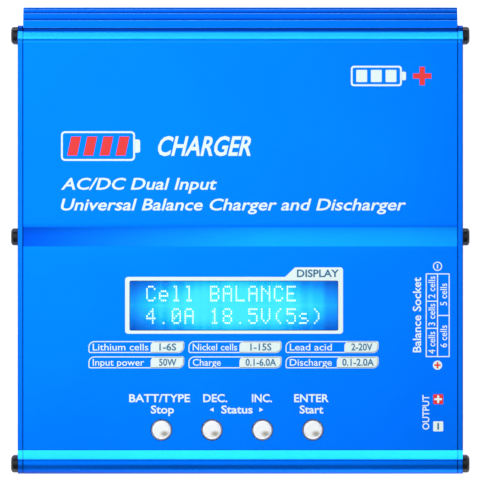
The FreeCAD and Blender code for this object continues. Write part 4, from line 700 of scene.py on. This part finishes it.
def plate_screws():
    places, turns = [], []
    for low, high in islands("end_plate_screws"):
        side = 1 if high.x > 0 else -1
        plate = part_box("right_end_plate")[1].x * side
        places.append((plate, (low.y + high.y) / 2, (low.z + high.z) / 2))
        turns.append((0, side * math.pi / 2, 0))
    low, high = islands("end_plate_screws")[-1]
    head = high.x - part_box("right_end_plate")[1].x
    screws = grown("case_screws", CROSS_SCREW, {
        "Head Radius": (high.y - low.y) / 2, "Head Height": head, "Crown": 0.3, "Shank Radius": 1.38 * mm,
        "Shank Length": high.x - low.x - head, "Recess Width": 2.9 * mm, "Recess Depth": 1.1 * mm, "Seed": 5,
        "Material": oxide}, places, turns)
    screws.data.set_sharp_from_angle(angle=math.radians(35))
    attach(screws, "root")
    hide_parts("end_plate_screws")


plate_screws()
broken_edges("fan_screws", "fan_mount_screws", oxide, 0.05 * mm)
broken_edges("inlet_screws", "inlet_mount_screws", oxide, 0.05 * mm)


# ---------------------------------------------------------------- display
# A character display under a clear glued window: blue backlight, bent black steel frame, and pale dots
# that the liquid crystal lets through.

def centre(node):
    """The middle of a CAD part's box."""
    low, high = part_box(node)
    return (low + high) / 2


def lit_blue():
    """Backlit liquid crystal: brightest in the middle, deep blue at the ends, with faint bright streaks and a
    painted shadow along its rim."""
    low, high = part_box("display_window")
    glued = 2.5 * mm
    middle, half = (low + high) / 2, (high - low) / 2 - Vector((glued, glued, 0))
    material, tree, shader = blank("lit_display", {
        "Base Color": (0.0, 0.02, 0.1, 1), "Roughness": 0.5, "Specular IOR Level": 0.0,
        "Emission Strength": 1.05})
    centred = vector(tree, "SUBTRACT", coordinates(tree), middle)
    scaled = vector(tree, "MULTIPLY", centred, (0.9 / half.x, 0.78 / half.y, 0))
    away = length(tree, scaled)
    glow = ramped(tree, away, 0.4, 1.3)
    stretched = vector(tree, "MULTIPLY", centred, (1.0, 0.02, 1.0))
    streaks = add(tree, "ShaderNodeTexNoise", {"Vector": stretched, "Scale": 420.0, "Detail": 2.0})
    streak = add(tree, "ShaderNodeMapRange", {0: streaks.outputs["Fac"], 1: 0.35, 2: 0.7, 3: -0.1, 4: 0.08})
    parts = add(tree, "ShaderNodeSeparateXYZ", {0: centred})
    height = calc(tree, "ABSOLUTE", parts.outputs["Y"])
    between = ramped(tree, height, 0.1 * mm, 0.6 * mm, 0.1, 0.0)
    streaked = calc(tree, "ADD", glow, streak)
    level = calc(tree, "ADD", streaked, between)
    ramp = add(tree, "ShaderNodeValToRGB", {0: level})
    stops = ((0.0, (0.0, 0.06, 0.55, 1)), (0.35, (0.001, 0.24, 0.88, 1)), (0.7, (0.01, 0.55, 0.92, 1)),
             (1.0, (0.055, 0.8, 0.95, 1)))
    while len(ramp.color_ramp.elements) < len(stops):
        ramp.color_ramp.elements.new(0.5)
    for element, (position, colour) in zip(ramp.color_ramp.elements, stops):
        element.position = position
        element.color = colour
    across = calc(tree, "ABSOLUTE", parts.outputs["X"])
    # Painted shadow along the glass's rim, where the window's edge would shade it.
    painted_shadow_rims = [ramped(tree, reach, end - 0.34 * mm, end - 0.12 * mm, 0.0, 1.0)
            for reach, end in ((across, half.x), (height, half.y))]
    rim = calc(tree, "MAXIMUM", *painted_shadow_rims)
    shaded = calc(tree, "MULTIPLY", rim, 0.75)
    lit = blended(tree, shaded, ramp.outputs["Color"], (0.01, 0.05, 0.14))
    tree.links.new(lit, shader.inputs["Emission Color"])
    return material


def clear(name, tint, rough=0.02, ior=1.45):
    """Clear plastic or glass with faint haze in its gloss."""
    material, tree, shader = blank(name, {
        "Base Color": tinted(tint, 1), "Transmission Weight": 1.0, "IOR": ior})
    haze = add(tree, "ShaderNodeGroup", {"Scale": 200.0}, node_tree=MOTTLE)
    gloss = add(tree, "ShaderNodeMapRange", {0: haze, 3: rough * 0.5, 4: rough * 1.5})
    tree.links.new(gloss.outputs[0], shader.inputs["Roughness"])
    return material


bezel = finish("bezel_lacquer", (0.015, 0.015, 0.017), 0.4, metallic=0.3, grain=0.2 * mm, relief=0.2)
milky = finish("light_guide_acrylic", (0.75, 0.86, 0.95), 0.3, grain=0.4 * mm, relief=0.1)
dress("lcd_bezel", bezel)
dress("lcd_backlight", milky)
dress("lcd_glass", lit_blue())
dress("display_window", clear("clear_window", (0.96, 0.99, 1.0), 0.02, 1.1))


def placed_pieces():
    """Sets a copy of a piece on every point, turned by the point's own turn."""
    tree, given, result = geometry_tree("placed_pieces", {"Piece": "Object", "Material": "Material"})
    info = add(tree, "GeometryNodeObjectInfo", {"Object": given.outputs["Piece"], "As Instance": True})
    turn = add(tree, "GeometryNodeInputNamedAttribute", {"Name": "turn"}, data_type="FLOAT_VECTOR")
    turned = add(tree, "FunctionNodeEulerToRotation", {0: turn.outputs["Attribute"]})
    laid = add(tree, "GeometryNodeInstanceOnPoints", {
        "Points": given.outputs["Geometry"], "Instance": info.outputs["Geometry"], "Rotation": turned})
    return painted(tree, given, result, add(tree, "GeometryNodeRealizeInstances", {0: laid}))


PLACED = placed_pieces()


def prism(corners, low, high):
    """A closed upright prism mesh from a plan outline."""
    shape = bmesh.new()
    face = shape.faces.new([shape.verts.new((x, y, low)) for x, y in corners])
    extruded = bmesh.ops.extrude_face_region(shape, geom=[face])["geom"]
    top = [v for v in extruded if isinstance(v, bmesh.types.BMVert)]
    bmesh.ops.translate(shape, vec=(0, 0, high - low), verts=top)
    bmesh.ops.recalc_face_normals(shape, faces=shape.faces)
    mesh = bpy.data.meshes.new("prism")
    shape.to_mesh(mesh)
    shape.free()
    return mesh


def rounded_corners(width, height, radii, middle=(0, 0), steps=5):
    """Plan outline of a rectangle whose corners, from lower left anticlockwise, have these radii."""
    points = []
    for i, (sx, sy) in enumerate(((-1, -1), (1, -1), (1, 1), (-1, 1))):
        r = radii[i]
        cx, cy = middle[0] + sx * (width / 2 - r), middle[1] + sy * (height / 2 - r)
        for k in range(steps + 1):
            angle = math.pi * (1 + i / 2) + (math.pi / 2) * (k / steps)
            points.append((cx + r * math.cos(angle), cy + r * math.sin(angle)))
    return points


CHARACTERS = {
    "C": ".###. #...# #.... #.... #.... #...# .###.", "e": "..... ..... .###. #...# ##### #.... .###.",
    "l": ".##.. ..#.. ..#.. ..#.. ..#.. ..#.. .###.", "B": "####. #...# #...# ####. #...# #...# ####.",
    "A": ".###. #...# #...# ##### #...# #...# #...#", "L": "#.... #.... #.... #.... #.... #.... #####",
    "N": "#...# ##..# #.#.# #..## #...# #...# #...#", "E": "##### #.... #.... ####. #.... #.... #####",
    "4": "...#. ..##. .#.#. #..#. ##### ...#. ...#.", ".": "..... ..... ..... ..... ..... ..... ..#..",
    "0": ".###. #...# #..## #.#.# ##..# #...# .###.", "1": "..#.. .##.. ..#.. ..#.. ..#.. ..#.. .###.",
    "8": ".###. #...# #...# .###. #...# #...# .###.", "5": "##### #.... ####. ....# ....# #...# .###.",
    "V": "#...# #...# #...# #...# #...# .#.#. ..#..", "(": "...#. ..#.. .#... .#... .#... ..#.. ...#.",
    ")": ".#... ..#.. ...#. ...#. ...#. ..#.. .#...", "s": "..... ..... .###. #.... .###. ....# ####.",
}


def lit_dots():
    """Pale dots of two lines of characters, standing a hair above the display glass."""
    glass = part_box("lcd_glass")[1]
    middle = centre("display_window")
    pitch, dot_x, dot_y = 3.88 * mm, 0.585 * mm, 0.7 * mm
    start = middle.x - 8 * pitch + 0.45 * mm
    points = []
    for text, top in ((" Cell BALANCE", 6.1 * mm), (" 4.0A 18.5V(5s)", -0.75 * mm)):
        for column, letter in enumerate(text):
            for row, line in enumerate(CHARACTERS.get(letter, "").split()):
                for i, mark in enumerate(line):
                    if mark == "#":
                        x = start + column * pitch + (i + 0.5) * dot_x
                        points.append((x, middle.y + top - (row + 0.5) * dot_y, glass.z))
    outline = rounded_corners(0.41 * mm, 0.53 * mm, [0.08 * mm] * 4, steps=1)
    dot = bpy.data.objects.new("dot", prism(outline, 0, 0.02 * mm))
    pale, tree, shader = blank("pale_dots", {"Roughness": 0.2, "Emission Strength": 0.9})
    patches = add(tree, "ShaderNodeGroup", {"Scale": 150.0}, node_tree=MOTTLE)
    glow = blended(tree, patches, (0.4, 0.86, 0.95), (0.56, 0.93, 1.0))
    tree.links.new(glow, shader.inputs["Emission Color"])
    piece = grown("display_characters", PLACED, {"Piece": dot, "Material": pale}, points)
    bpy.data.objects.remove(dot)
    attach(piece, "root")


lit_dots()


# ---------------------------------------------------------------- keys
# Four white domed push keys, each on the black plunger of its own switch.

def white_with_painted_shade():
    """Glossy white with a painted shade of warm grey towards the front right of each key."""
    material = finish("key_white", (0.9, 0.93, 0.95), 0.12, coat=0.6, grain=0.5 * mm, relief=0.04,
                      uneven=0.02)
    tree = material.node_tree
    first, second = centre(KEYS[0] + "_key_cap"), centre(KEYS[1] + "_key_cap")
    pitch = second.x - first.x
    from_first = vector(tree, "SUBTRACT", coordinates(tree), first)
    parts = add(tree, "ShaderNodeSeparateXYZ", {0: from_first})
    along = calc(tree, "WRAP", parts.outputs["X"], pitch / 2, -pitch / 2)
    local = add(tree, "ShaderNodeCombineXYZ", {0: along, 1: parts.outputs["Y"]})
    # Painted shade: a warm grey patch towards the front right of each key, fading out at its rim.
    aside = vector(tree, "SUBTRACT", local, (0.95 * mm, -1.15 * mm, 0))
    squashed = vector(tree, "MULTIPLY", aside, (0.8, 1.15, 0))
    painted_shade_patch = ramped(tree, length(tree, squashed), 0.1 * mm, 1.6 * mm)
    rim = ramped(tree, length(tree, local), 2.05 * mm, 2.7 * mm, 1.0, 0.1)
    return laid_over(material, calc(tree, "MULTIPLY", painted_shade_patch, rim), (0.3, 0.27, 0.21))


KEYS = ("stop", "decrease", "increase", "start")
key_gloss = white_with_painted_shade()
moulded_black = finish("moulded_black", (0.02, 0.02, 0.021), 0.45, grain=0.12 * mm, relief=0.3, uneven=0.15,
                       wear_and_painted_light=0.2, worn_and_painted_light=(0.1, 0.1, 0.1))
for key in KEYS:
    broken_edges(key + "_key_cap", key + "_key", key_gloss, 0.06 * mm)
    dress(key + "_key_stem", moulded_black)
dress("switch_bodies", moulded_black)
dress("pin_headers", moulded_black)


# ---------------------------------------------------------------- output side
# Red and black output jacks with plated brass sleeves, white nylon balance sockets with square pins,
# a pressed steel data port and the temperature probe's port.

nylon = finish("natural_nylon", (0.8, 0.78, 0.7), 0.42, grain=0.2 * mm, relief=0.2, uneven=0.04, wear_and_painted_light=0.1,
               worn_and_painted_light=(0.9, 0.9, 0.85))
red = finish("moulded_red", (0.62, 0.012, 0.01), 0.3, coat=0.3, grain=0.2 * mm, relief=0.15, uneven=0.06,
             wear_and_painted_light=0.3, worn_and_painted_light=(0.75, 0.1, 0.08))
gold = finish("plated_contact", (0.86, 0.66, 0.3), 0.22, metallic=1.0, grain=0.1 * mm, relief=0.12)
tin = finish("tinned_steel", (0.68, 0.68, 0.67), 0.26, metallic=1.0, grain=0.12 * mm, stretch=3.0, relief=0.2)
for cells in range(2, 7):
    broken_edges("balance_socket_%ds" % cells, "cell_socket_%ds" % cells, nylon, 0.1 * mm)
broken_edges("sensor_port", "probe_port", nylon, 0.1 * mm)
broken_edges("red_output_jack", "red_jack", red, 0.15 * mm)
broken_edges("black_output_jack", "black_jack", moulded_black, 0.15 * mm)
broken_edges("usb_port", "data_port_shell", tin, 0.05 * mm)
dress("output_jack_sleeves", gold)
dress("balance_pins", gold)


# ---------------------------------------------------------------- mains side
# Moulded mains inlet with three blades, the low-voltage inlet, and the fan behind its grille.

broken_edges("mains_inlet", "mains_socket", moulded_black, 0.15 * mm)
broken_edges("mains_inlet_blades", "mains_blades", tin, 0.2 * mm)
broken_edges("dc_input_jack", "low_voltage_jack", moulded_black, 0.12 * mm)
dress("dc_input_pin", gold)
dress("mains_fuse", clear("fuse_tube", (0.85, 0.9, 0.9), 0.05))
broken_edges("fan_frame", "fan_housing", moulded_black, 0.15 * mm)
dress("fan_rotor", moulded_black)
dress("fan_shaft", tin)
dress("fan_bearing", brass)
dress("fan_stator", enamel)


# ---------------------------------------------------------------- screen print
# White, red and blue ink printed on the cover in thin layers. All words are plain names of what a
# control, socket or reading is.

INK = 0.03 * mm
layers = {"white": [], "red": [], "blue": []}
above = {"white": 0, "red": 0, "blue": 1}


def ink(colour, mesh, level=None):
    """Adds a mesh, drawn from height 0 up to 1, to one ink layer at its height over the cover. The lowest
    layer reaches a little into the cover."""
    step = above[colour] if level is None else level
    for vert in mesh.vertices:
        vert.co.z = cover_top + (step + vert.co.z) * INK - (0.2 * INK if step == 0 and vert.co.z < 0.5 else 0)
    layers[colour].append(mesh)


def area(colour, corners, level=None):
    """Prints a filled outline."""
    ink(colour, prism(corners, 0, 1), level)


def text_mesh(text, weight, slant):
    """Closed mesh of a line of text, one unit high at its capitals."""
    curve = bpy.data.curves.new("text", "FONT")
    curve.body = text
    curve.offset = weight
    curve.shear = slant
    curve.extrude = 0.5
    curve.resolution_u = 3
    letter = in_scene("text", curve)
    mesh = evaluated(letter)
    bpy.data.objects.remove(letter)
    shape = bmesh.new()
    shape.from_mesh(mesh)
    bmesh.ops.remove_doubles(shape, verts=shape.verts, dist=1e-5)
    shape.to_mesh(mesh)
    shape.free()
    return mesh


CAPITAL = max(v.co.y for v in text_mesh("H", 0, 0).vertices)


def label(colour, text, left, right, base, capital, weight=0.012, slant=0.0, upward=False):
    """Prints a line of text from left to right on a base line, or upwards from left to right ends."""
    mesh = text_mesh(text, weight, slant)
    low = min(v.co.x for v in mesh.vertices)
    high = max(v.co.x for v in mesh.vertices)
    for vert in mesh.vertices:
        along = left + (right - left) * (vert.co.x - low) / (high - low)
        up = vert.co.y / CAPITAL * capital
        flat = (base - up, along) if upward else (along, base + up)
        vert.co = (flat[0], flat[1], 0 if vert.co.z < 0 else 1)
    ink(colour, mesh)


def ring(colour, outer, inner):
    """Prints the strip between two outlines that have the same number of corners."""
    shape = bmesh.new()
    loops = [[shape.verts.new((x, y, z)) for x, y in loop] for z in (0, 1) for loop in (outer, inner)]
    count = len(outer)
    for i in range(count):
        j = (i + 1) % count
        for a, b in ((0, 1), (1, 3), (3, 2), (2, 0)):
            shape.faces.new((loops[a][i], loops[b][i], loops[b][j], loops[a][j]))
    bmesh.ops.recalc_face_normals(shape, faces=shape.faces)
    mesh = bpy.data.meshes.new("ring")
    shape.to_mesh(mesh)
    shape.free()
    ink(colour, mesh)


def frame_print():
    """White frame round the display opening, with a tab that names it."""
    middle = centre("display_window")
    width, height = 63.5 * mm, 15.2 * mm
    west, east, south, north = 1.3 * mm, 1.42 * mm, 0.95 * mm, 1.12 * mm
    outer_middle = (middle.x + (east - west) / 2, middle.y + (north - south) / 2)
    inner = rounded_corners(width, height, [0.5 * mm] * 4, middle.xy)
    outer = rounded_corners(width + west + east, height + south + north,
                            [0.9 * mm, 0.9 * mm, 0.02 * mm, 0.9 * mm], outer_middle)
    ring("white", outer, inner)
    right, top = middle.x + width / 2 + east, middle.y + height / 2 + north
    slant, tab = 3.0 * mm, 2.9 * mm
    area("white", [(right - 17.6 * mm, top), (right, top), (right, top + tab - 0.7 * mm),
                   (right - 0.2 * mm, top + tab - 0.2 * mm), (right - 0.7 * mm, top + tab),
                   (right - 17.6 * mm + slant, top + tab)])
    label("blue", "DISPLAY", right - 14.0 * mm, right - 1.25 * mm, top, 2.15 * mm, 0.022)


def ratings_print():
    """Two rows of three rating plates: a name on the case colour, and its value on white."""
    middle = centre("display_window")
    height, gap, line, leaf, corner = 3.6 * mm, 4.65 * mm, 0.3 * mm, 1.75 * mm, 0.6 * mm
    columns = ((-44.2 * mm, 29.1 * mm), (-13.8 * mm, 28.3 * mm), (15.7 * mm, 28.3 * mm))
    rows = ((("Lithium cells", "1-6S", 10.2, 5.1), ("Nickel cells", "1-15S", 12.8, 6.4),
             ("Lead acid", "2-20V", 10.4, 6.4)),
            (("Input power", "50W", 10.2, 5.3), ("Charge", "0.1-6.0A", 12.8, 9.3),
             ("Discharge", "0.1-2.0A", 12.7, 9.6)))
    for r, row in enumerate(rows):
        y = middle.y - 12.6 * mm - r * gap
        for (offset, width), (name, value, filled, broad) in zip(columns, row):
            left, right = middle.x + offset, middle.x + offset + width
            box_middle = ((left + right) / 2, y)
            ring("white", rounded_corners(width, height, [corner, leaf, corner, leaf], box_middle),
                 rounded_corners(width - 2 * line, height - 2 * line,
                                 [corner - line, leaf - line, corner - line, leaf - line], box_middle))
            start, end = right - filled * mm, right - line / 2
            radii = [0.15 * mm, leaf - line / 2, corner, 1.3 * mm]
            area("white", rounded_corners(end - start, height - line, radii, ((start + end) / 2, y)))
            base = y - 1.0 * mm
            reach = min(len(name) * 1.42 * mm, start - left - 2.0 * mm)
            label("white", name, left + 1.3 * mm, left + 1.3 * mm + reach, base, 2.0 * mm, 0.006)
            value_middle, half = (start + right) / 2 + 0.1 * mm, broad / 2 * mm
            label("blue", value, value_middle - half, value_middle + half, base, 2.05 * mm, 0.016)


def key_print():
    """Names of the keys, above them."""
    keys = [centre(key + "_key_cap") for key in KEYS]
    upper, lower = 8.52 * mm, 5.07 * mm
    for key, word, rise, width, aside in ((keys[0], "BATT/TYPE", upper, 18.5 * mm, -0.55 * mm),
                                          (keys[0], "Stop", lower, 7.0 * mm, 0.3 * mm),
                                          (keys[3], "ENTER", upper, 10.5 * mm, -0.45 * mm),
                                          (keys[3], "Start", lower, 7.2 * mm, -0.45 * mm)):
        start = key.x + aside - width / 2
        label("white", word, start, start + width, key.y + rise, 2.3 * mm, 0.02)
    label("white", "DEC.", keys[1].x - 2.65 * mm, keys[1].x + 4.65 * mm, keys[1].y + upper, 2.3 * mm, 0.02)
    label("white", "INC.", keys[2].x - 3.2 * mm, keys[2].x + 2.9 * mm, keys[2].y + upper, 2.3 * mm, 0.02)
    between = (keys[1] + keys[2]) / 2
    label("white", "Status", between.x - 4.85 * mm, between.x + 4.7 * mm, between.y + lower, 2.3 * mm, 0.02)
    for side, reach in ((-1, -7.15 * mm), (1, 6.75 * mm)):
        tip, back = between.x + reach + side * 1.2 * mm, between.x + reach
        y = between.y + lower + 1.1 * mm
        area("white", [(tip, y), (back, y + 0.65 * mm), (back, y - 0.65 * mm)][::-side])


def battery_outline(left, y, size, corners, nub, nub_corner, gap):
    """Outline of a battery lying down, with the nub of its pole at the right."""
    (width, height), line = size, 0.55 * mm
    middle = (left + width / 2, y)
    ring("white", rounded_corners(width, height, [corners[0]] * 4, middle),
         rounded_corners(width - 2 * line, height - 2 * line, [corners[1]] * 4, middle))
    radii = [0.1 * mm, nub_corner, nub_corner, 0.1 * mm]
    area("white", rounded_corners(*nub, radii, (left + width + gap, y)))


def title_print():
    """A battery sign with a plain title and two lines that say what the charger does."""
    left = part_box("upper_cover")[0].x + 11.6 * mm
    y, rise, bar, lean = 28.7 * mm, 2.9 * mm, 3.0 * mm, 1.2 * mm
    battery_outline(left, y, (22.5 * mm, 9.0 * mm), (1.2 * mm, 0.7 * mm), (1.5 * mm, 4.0 * mm), 0.6 * mm,
                    0.8 * mm)
    for i in range(4):
        x = left + 1.9 * mm + i * 4.9 * mm
        area("red", [(x, y - rise), (x + bar, y - rise), (x + bar + lean, y + rise), (x + lean, y + rise)])
    capital, weight, slant = 3.43 * mm, 0.014, 0.22
    label("white", "CHARGER", left + 29.5 * mm, left + 57.7 * mm, 25.9 * mm, 5.6 * mm, 0.022, 0.3)
    label("white", "AC/DC Dual Input", left, left + 47.4 * mm, 15.5 * mm, capital, weight, slant)
    label("white", "Universal Balance Charger and Discharger", left, left + 104.9 * mm, 9.2 * mm, capital,
          weight, slant)


def corner_print():
    """A small cell-stack sign, white with a red plus."""
    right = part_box("upper_cover")[1].x - 7.8 * mm
    left, y = right - 24.7 * mm, 50.0 * mm
    battery_outline(left, y, (15.5 * mm, 6.2 * mm), (0.9 * mm, 0.5 * mm), (1.2 * mm, 2.6 * mm), 0.4 * mm,
                    0.65 * mm)
    for i in range(3):
        area("white", rounded_corners(3.3 * mm, 3.7 * mm, [0.3 * mm] * 4, (left + (3.3 + i * 4.45) * mm, y)))
    plus("red", (right - 3.0 * mm, y), 5.6 * mm, 1.6 * mm)


def plus(colour, middle, size, width, level=None):
    """Prints a plus sign."""
    x, y = middle
    a, b = size / 2, width / 2
    corners = ((-b, -a), (b, -a), (b, -b), (a, -b), (a, b), (b, b), (b, a), (-b, a), (-b, b), (-a, b),
               (-a, -b), (-b, -b))
    area(colour, [(x + i, y + j) for i, j in corners], level)


def round_outline(middle, radius, steps=28):
    angles = [2 * math.pi * k / steps for k in range(steps)]
    return [(middle[0] + radius * math.cos(a), middle[1] + radius * math.sin(a)) for a in angles]


def socket_print():
    """Table of the balance sockets behind the right edge, and the signs of the output jacks."""
    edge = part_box("upper_cover")[1].x
    line = 0.32 * mm
    left, divider, right = edge - 9.75 * mm, edge - 6.15 * mm, edge - 2.45 * mm
    top, bottom = -10.0 * mm, -35.45 * mm
    middle = ((left + right) / 2, (top + bottom) / 2)
    ring("white", rounded_corners(right - left, top - bottom, [0.1 * mm] * 4, middle, 1),
         rounded_corners(right - left - 2 * line, top - bottom - 2 * line, [0.05 * mm] * 4, middle, 1))

    def bar(x0, x1, y0, y1):
        area("white", [(x0, y0), (x1, y0), (x1, y1), (x0, y1)])

    bar(divider - line / 2, divider + line / 2, bottom + line, top - line)
    splits = {0: (-18.45 * mm, -26.7 * mm), 1: (-22.8 * mm,)}
    for y in splits[0]:
        bar(left + line, divider - line / 2, y - line / 2, y + line / 2)
    for y in splits[1]:
        bar(divider + line / 2, right - line, y - line / 2, y + line / 2)
    for x, first, ends in ((left, 2, (top, *splits[0], bottom)), (divider, 5, (top, *splits[1], bottom))):
        for number, (high, low) in enumerate(zip(ends, ends[1:]), first):
            y, reach = (high + low) / 2, 3.35 * mm
            label("white", "%d cells" % number, y - reach, y + reach, x + 2.85 * mm, 2.0 * mm, 0.006,
                  upward=True)
    label("white", "Balance Socket", -34.0 * mm, -11.2 * mm, edge - 11.2 * mm, 2.4 * mm, 0.014, upward=True)
    minus_end, plus_end = (divider, -7.85 * mm), (divider, -37.9 * mm)
    ring("white", round_outline(minus_end, 1.4 * mm), round_outline(minus_end, 1.1 * mm))
    bar(divider - 0.17 * mm, divider + 0.17 * mm, -8.5 * mm, -7.2 * mm)
    area("white", round_outline(plus_end, 1.4 * mm))
    plus("red", plus_end, 1.9 * mm, 0.5 * mm, 1)
    label("white", "OUTPUT", -57.5 * mm, -47.0 * mm, edge - 8.7 * mm, 2.0 * mm, 0.014, upward=True)
    for y, colour in ((-48.25 * mm, "red"), (-56.5 * mm, "white")):
        area(colour, rounded_corners(3.05 * mm, 3.05 * mm, [0.35 * mm] * 4, (divider + 0.2 * mm, y)))
    plus("white", (divider + 0.2 * mm, -48.25 * mm), 2.3 * mm, 0.62 * mm, 1)
    area("blue", rounded_corners(0.5 * mm, 2.0 * mm, [0.05 * mm] * 4, (divider + 0.2 * mm, -56.5 * mm), 1))


frame_print()
ratings_print()
key_print()
title_print()
corner_print()
socket_print()

for colour, tint, uneven in (("white", (0.83, 1.0, 0.99), 0.03), ("red", (0.86, 0.012, 0.015), 0.06),
                             ("blue", (0.005, 0.16, 0.33), 0.06)):
    material = finish(colour + "_ink", tint, 0.45, grain=0.1 * mm, relief=0.25, uneven=uneven, patch=900.0)
    joined = bmesh.new()
    for mesh in layers[colour]:
        joined.from_mesh(mesh)
    merged = bpy.data.meshes.new(colour + "_print")
    joined.to_mesh(merged)
    joined.free()
    merged.materials.clear()
    merged.materials.append(material)
    for face in merged.polygons:
        face.material_index = 0
    piece = in_scene(colour + "_print", merged)
    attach(piece, "root")


# ---------------------------------------------------------------- floor, light and camera
# A plain white table that gives off some light itself, a soft box overhead towards the rear left, low
# bright strips at the front and the rear that the sloping edges reflect, and a panel at each side. The
# surround is white to the camera and dimmer to what it lights. The camera is far away with a long lens.

floor_mesh = bpy.data.meshes.new("floor")
reach = 6
floor_mesh.from_pydata([(-reach, -reach, 0), (reach, -reach, 0), (reach, reach, 0), (-reach, reach, 0)], [],
                       [(0, 1, 2, 3)])
table = finish("white_table", (0.85, 0.85, 0.85), 0.8, grain=2 * mm, relief=0.05, uneven=0.01)
table_shader = table.node_tree.nodes["Principled BSDF"]
table_shader.inputs["Emission Color"].default_value = (1, 1, 1, 1)
table_shader.inputs["Emission Strength"].default_value = 0.7
floor_mesh.materials.append(table)
floor = in_scene("floor", floor_mesh)


def panel(name, place, size, radiance, aim=(0, 0, 0.02)):
    """A soft box of one even radiance, aimed at the charger."""
    light = bpy.data.lights.new(name, "AREA")
    light.shape = "RECTANGLE"
    light.size, light.size_y = size
    light.energy = radiance * math.pi * size[0] * size[1]
    lamp = in_scene(name, light)
    lamp.location = place
    lamp.rotation_mode = "QUATERNION"
    lamp.rotation_quaternion = (Vector(place) - Vector(aim)).to_track_quat("Z", "Y")
    lamp.visible_camera = False


panel("overhead_box", (-0.13, 0.13, 0.42), (0.43, 0.43), 1.8, (-0.13, 0.13, 0))
panel("front_strip", (0, -0.6, 0.07), (1.2, 0.14), 5.6, (0, 0, 0.05))
panel("rear_strip", (0, 0.6, 0.07), (1.2, 0.14), 6.4, (0, 0, 0.05))
panel("left_panel", (-0.85, 0, 0.35), (0.7, 0.4), 3.0)
panel("right_panel", (0.85, 0, 0.35), (0.7, 0.4), 2.5)

world = bpy.data.worlds.new("studio")
world.use_nodes = True
surround = world.node_tree.nodes["Background"]
path = add(world.node_tree, "ShaderNodeLightPath")
seen = add(world.node_tree, "ShaderNodeMapRange", {0: path.outputs["Is Camera Ray"], 3: 0.3, 4: 1.0})
world.node_tree.links.new(seen.outputs[0], surround.inputs["Strength"])
surround.inputs["Color"].default_value = (1, 1, 1, 1)
scene.world = world
scene.view_settings.view_transform = "Standard"
scene.view_settings.look = "None"

lens = bpy.data.cameras.new("camera")
lens.lens, lens.sensor_width, lens.clip_end = 1700, 36, 60
camera = in_scene("camera", lens)
seen_width = 145.9 * mm
camera.location = (-0.09 * mm, 0.14 * mm, cover_top + seen_width * lens.lens / lens.sensor_width)
scene.camera = camera
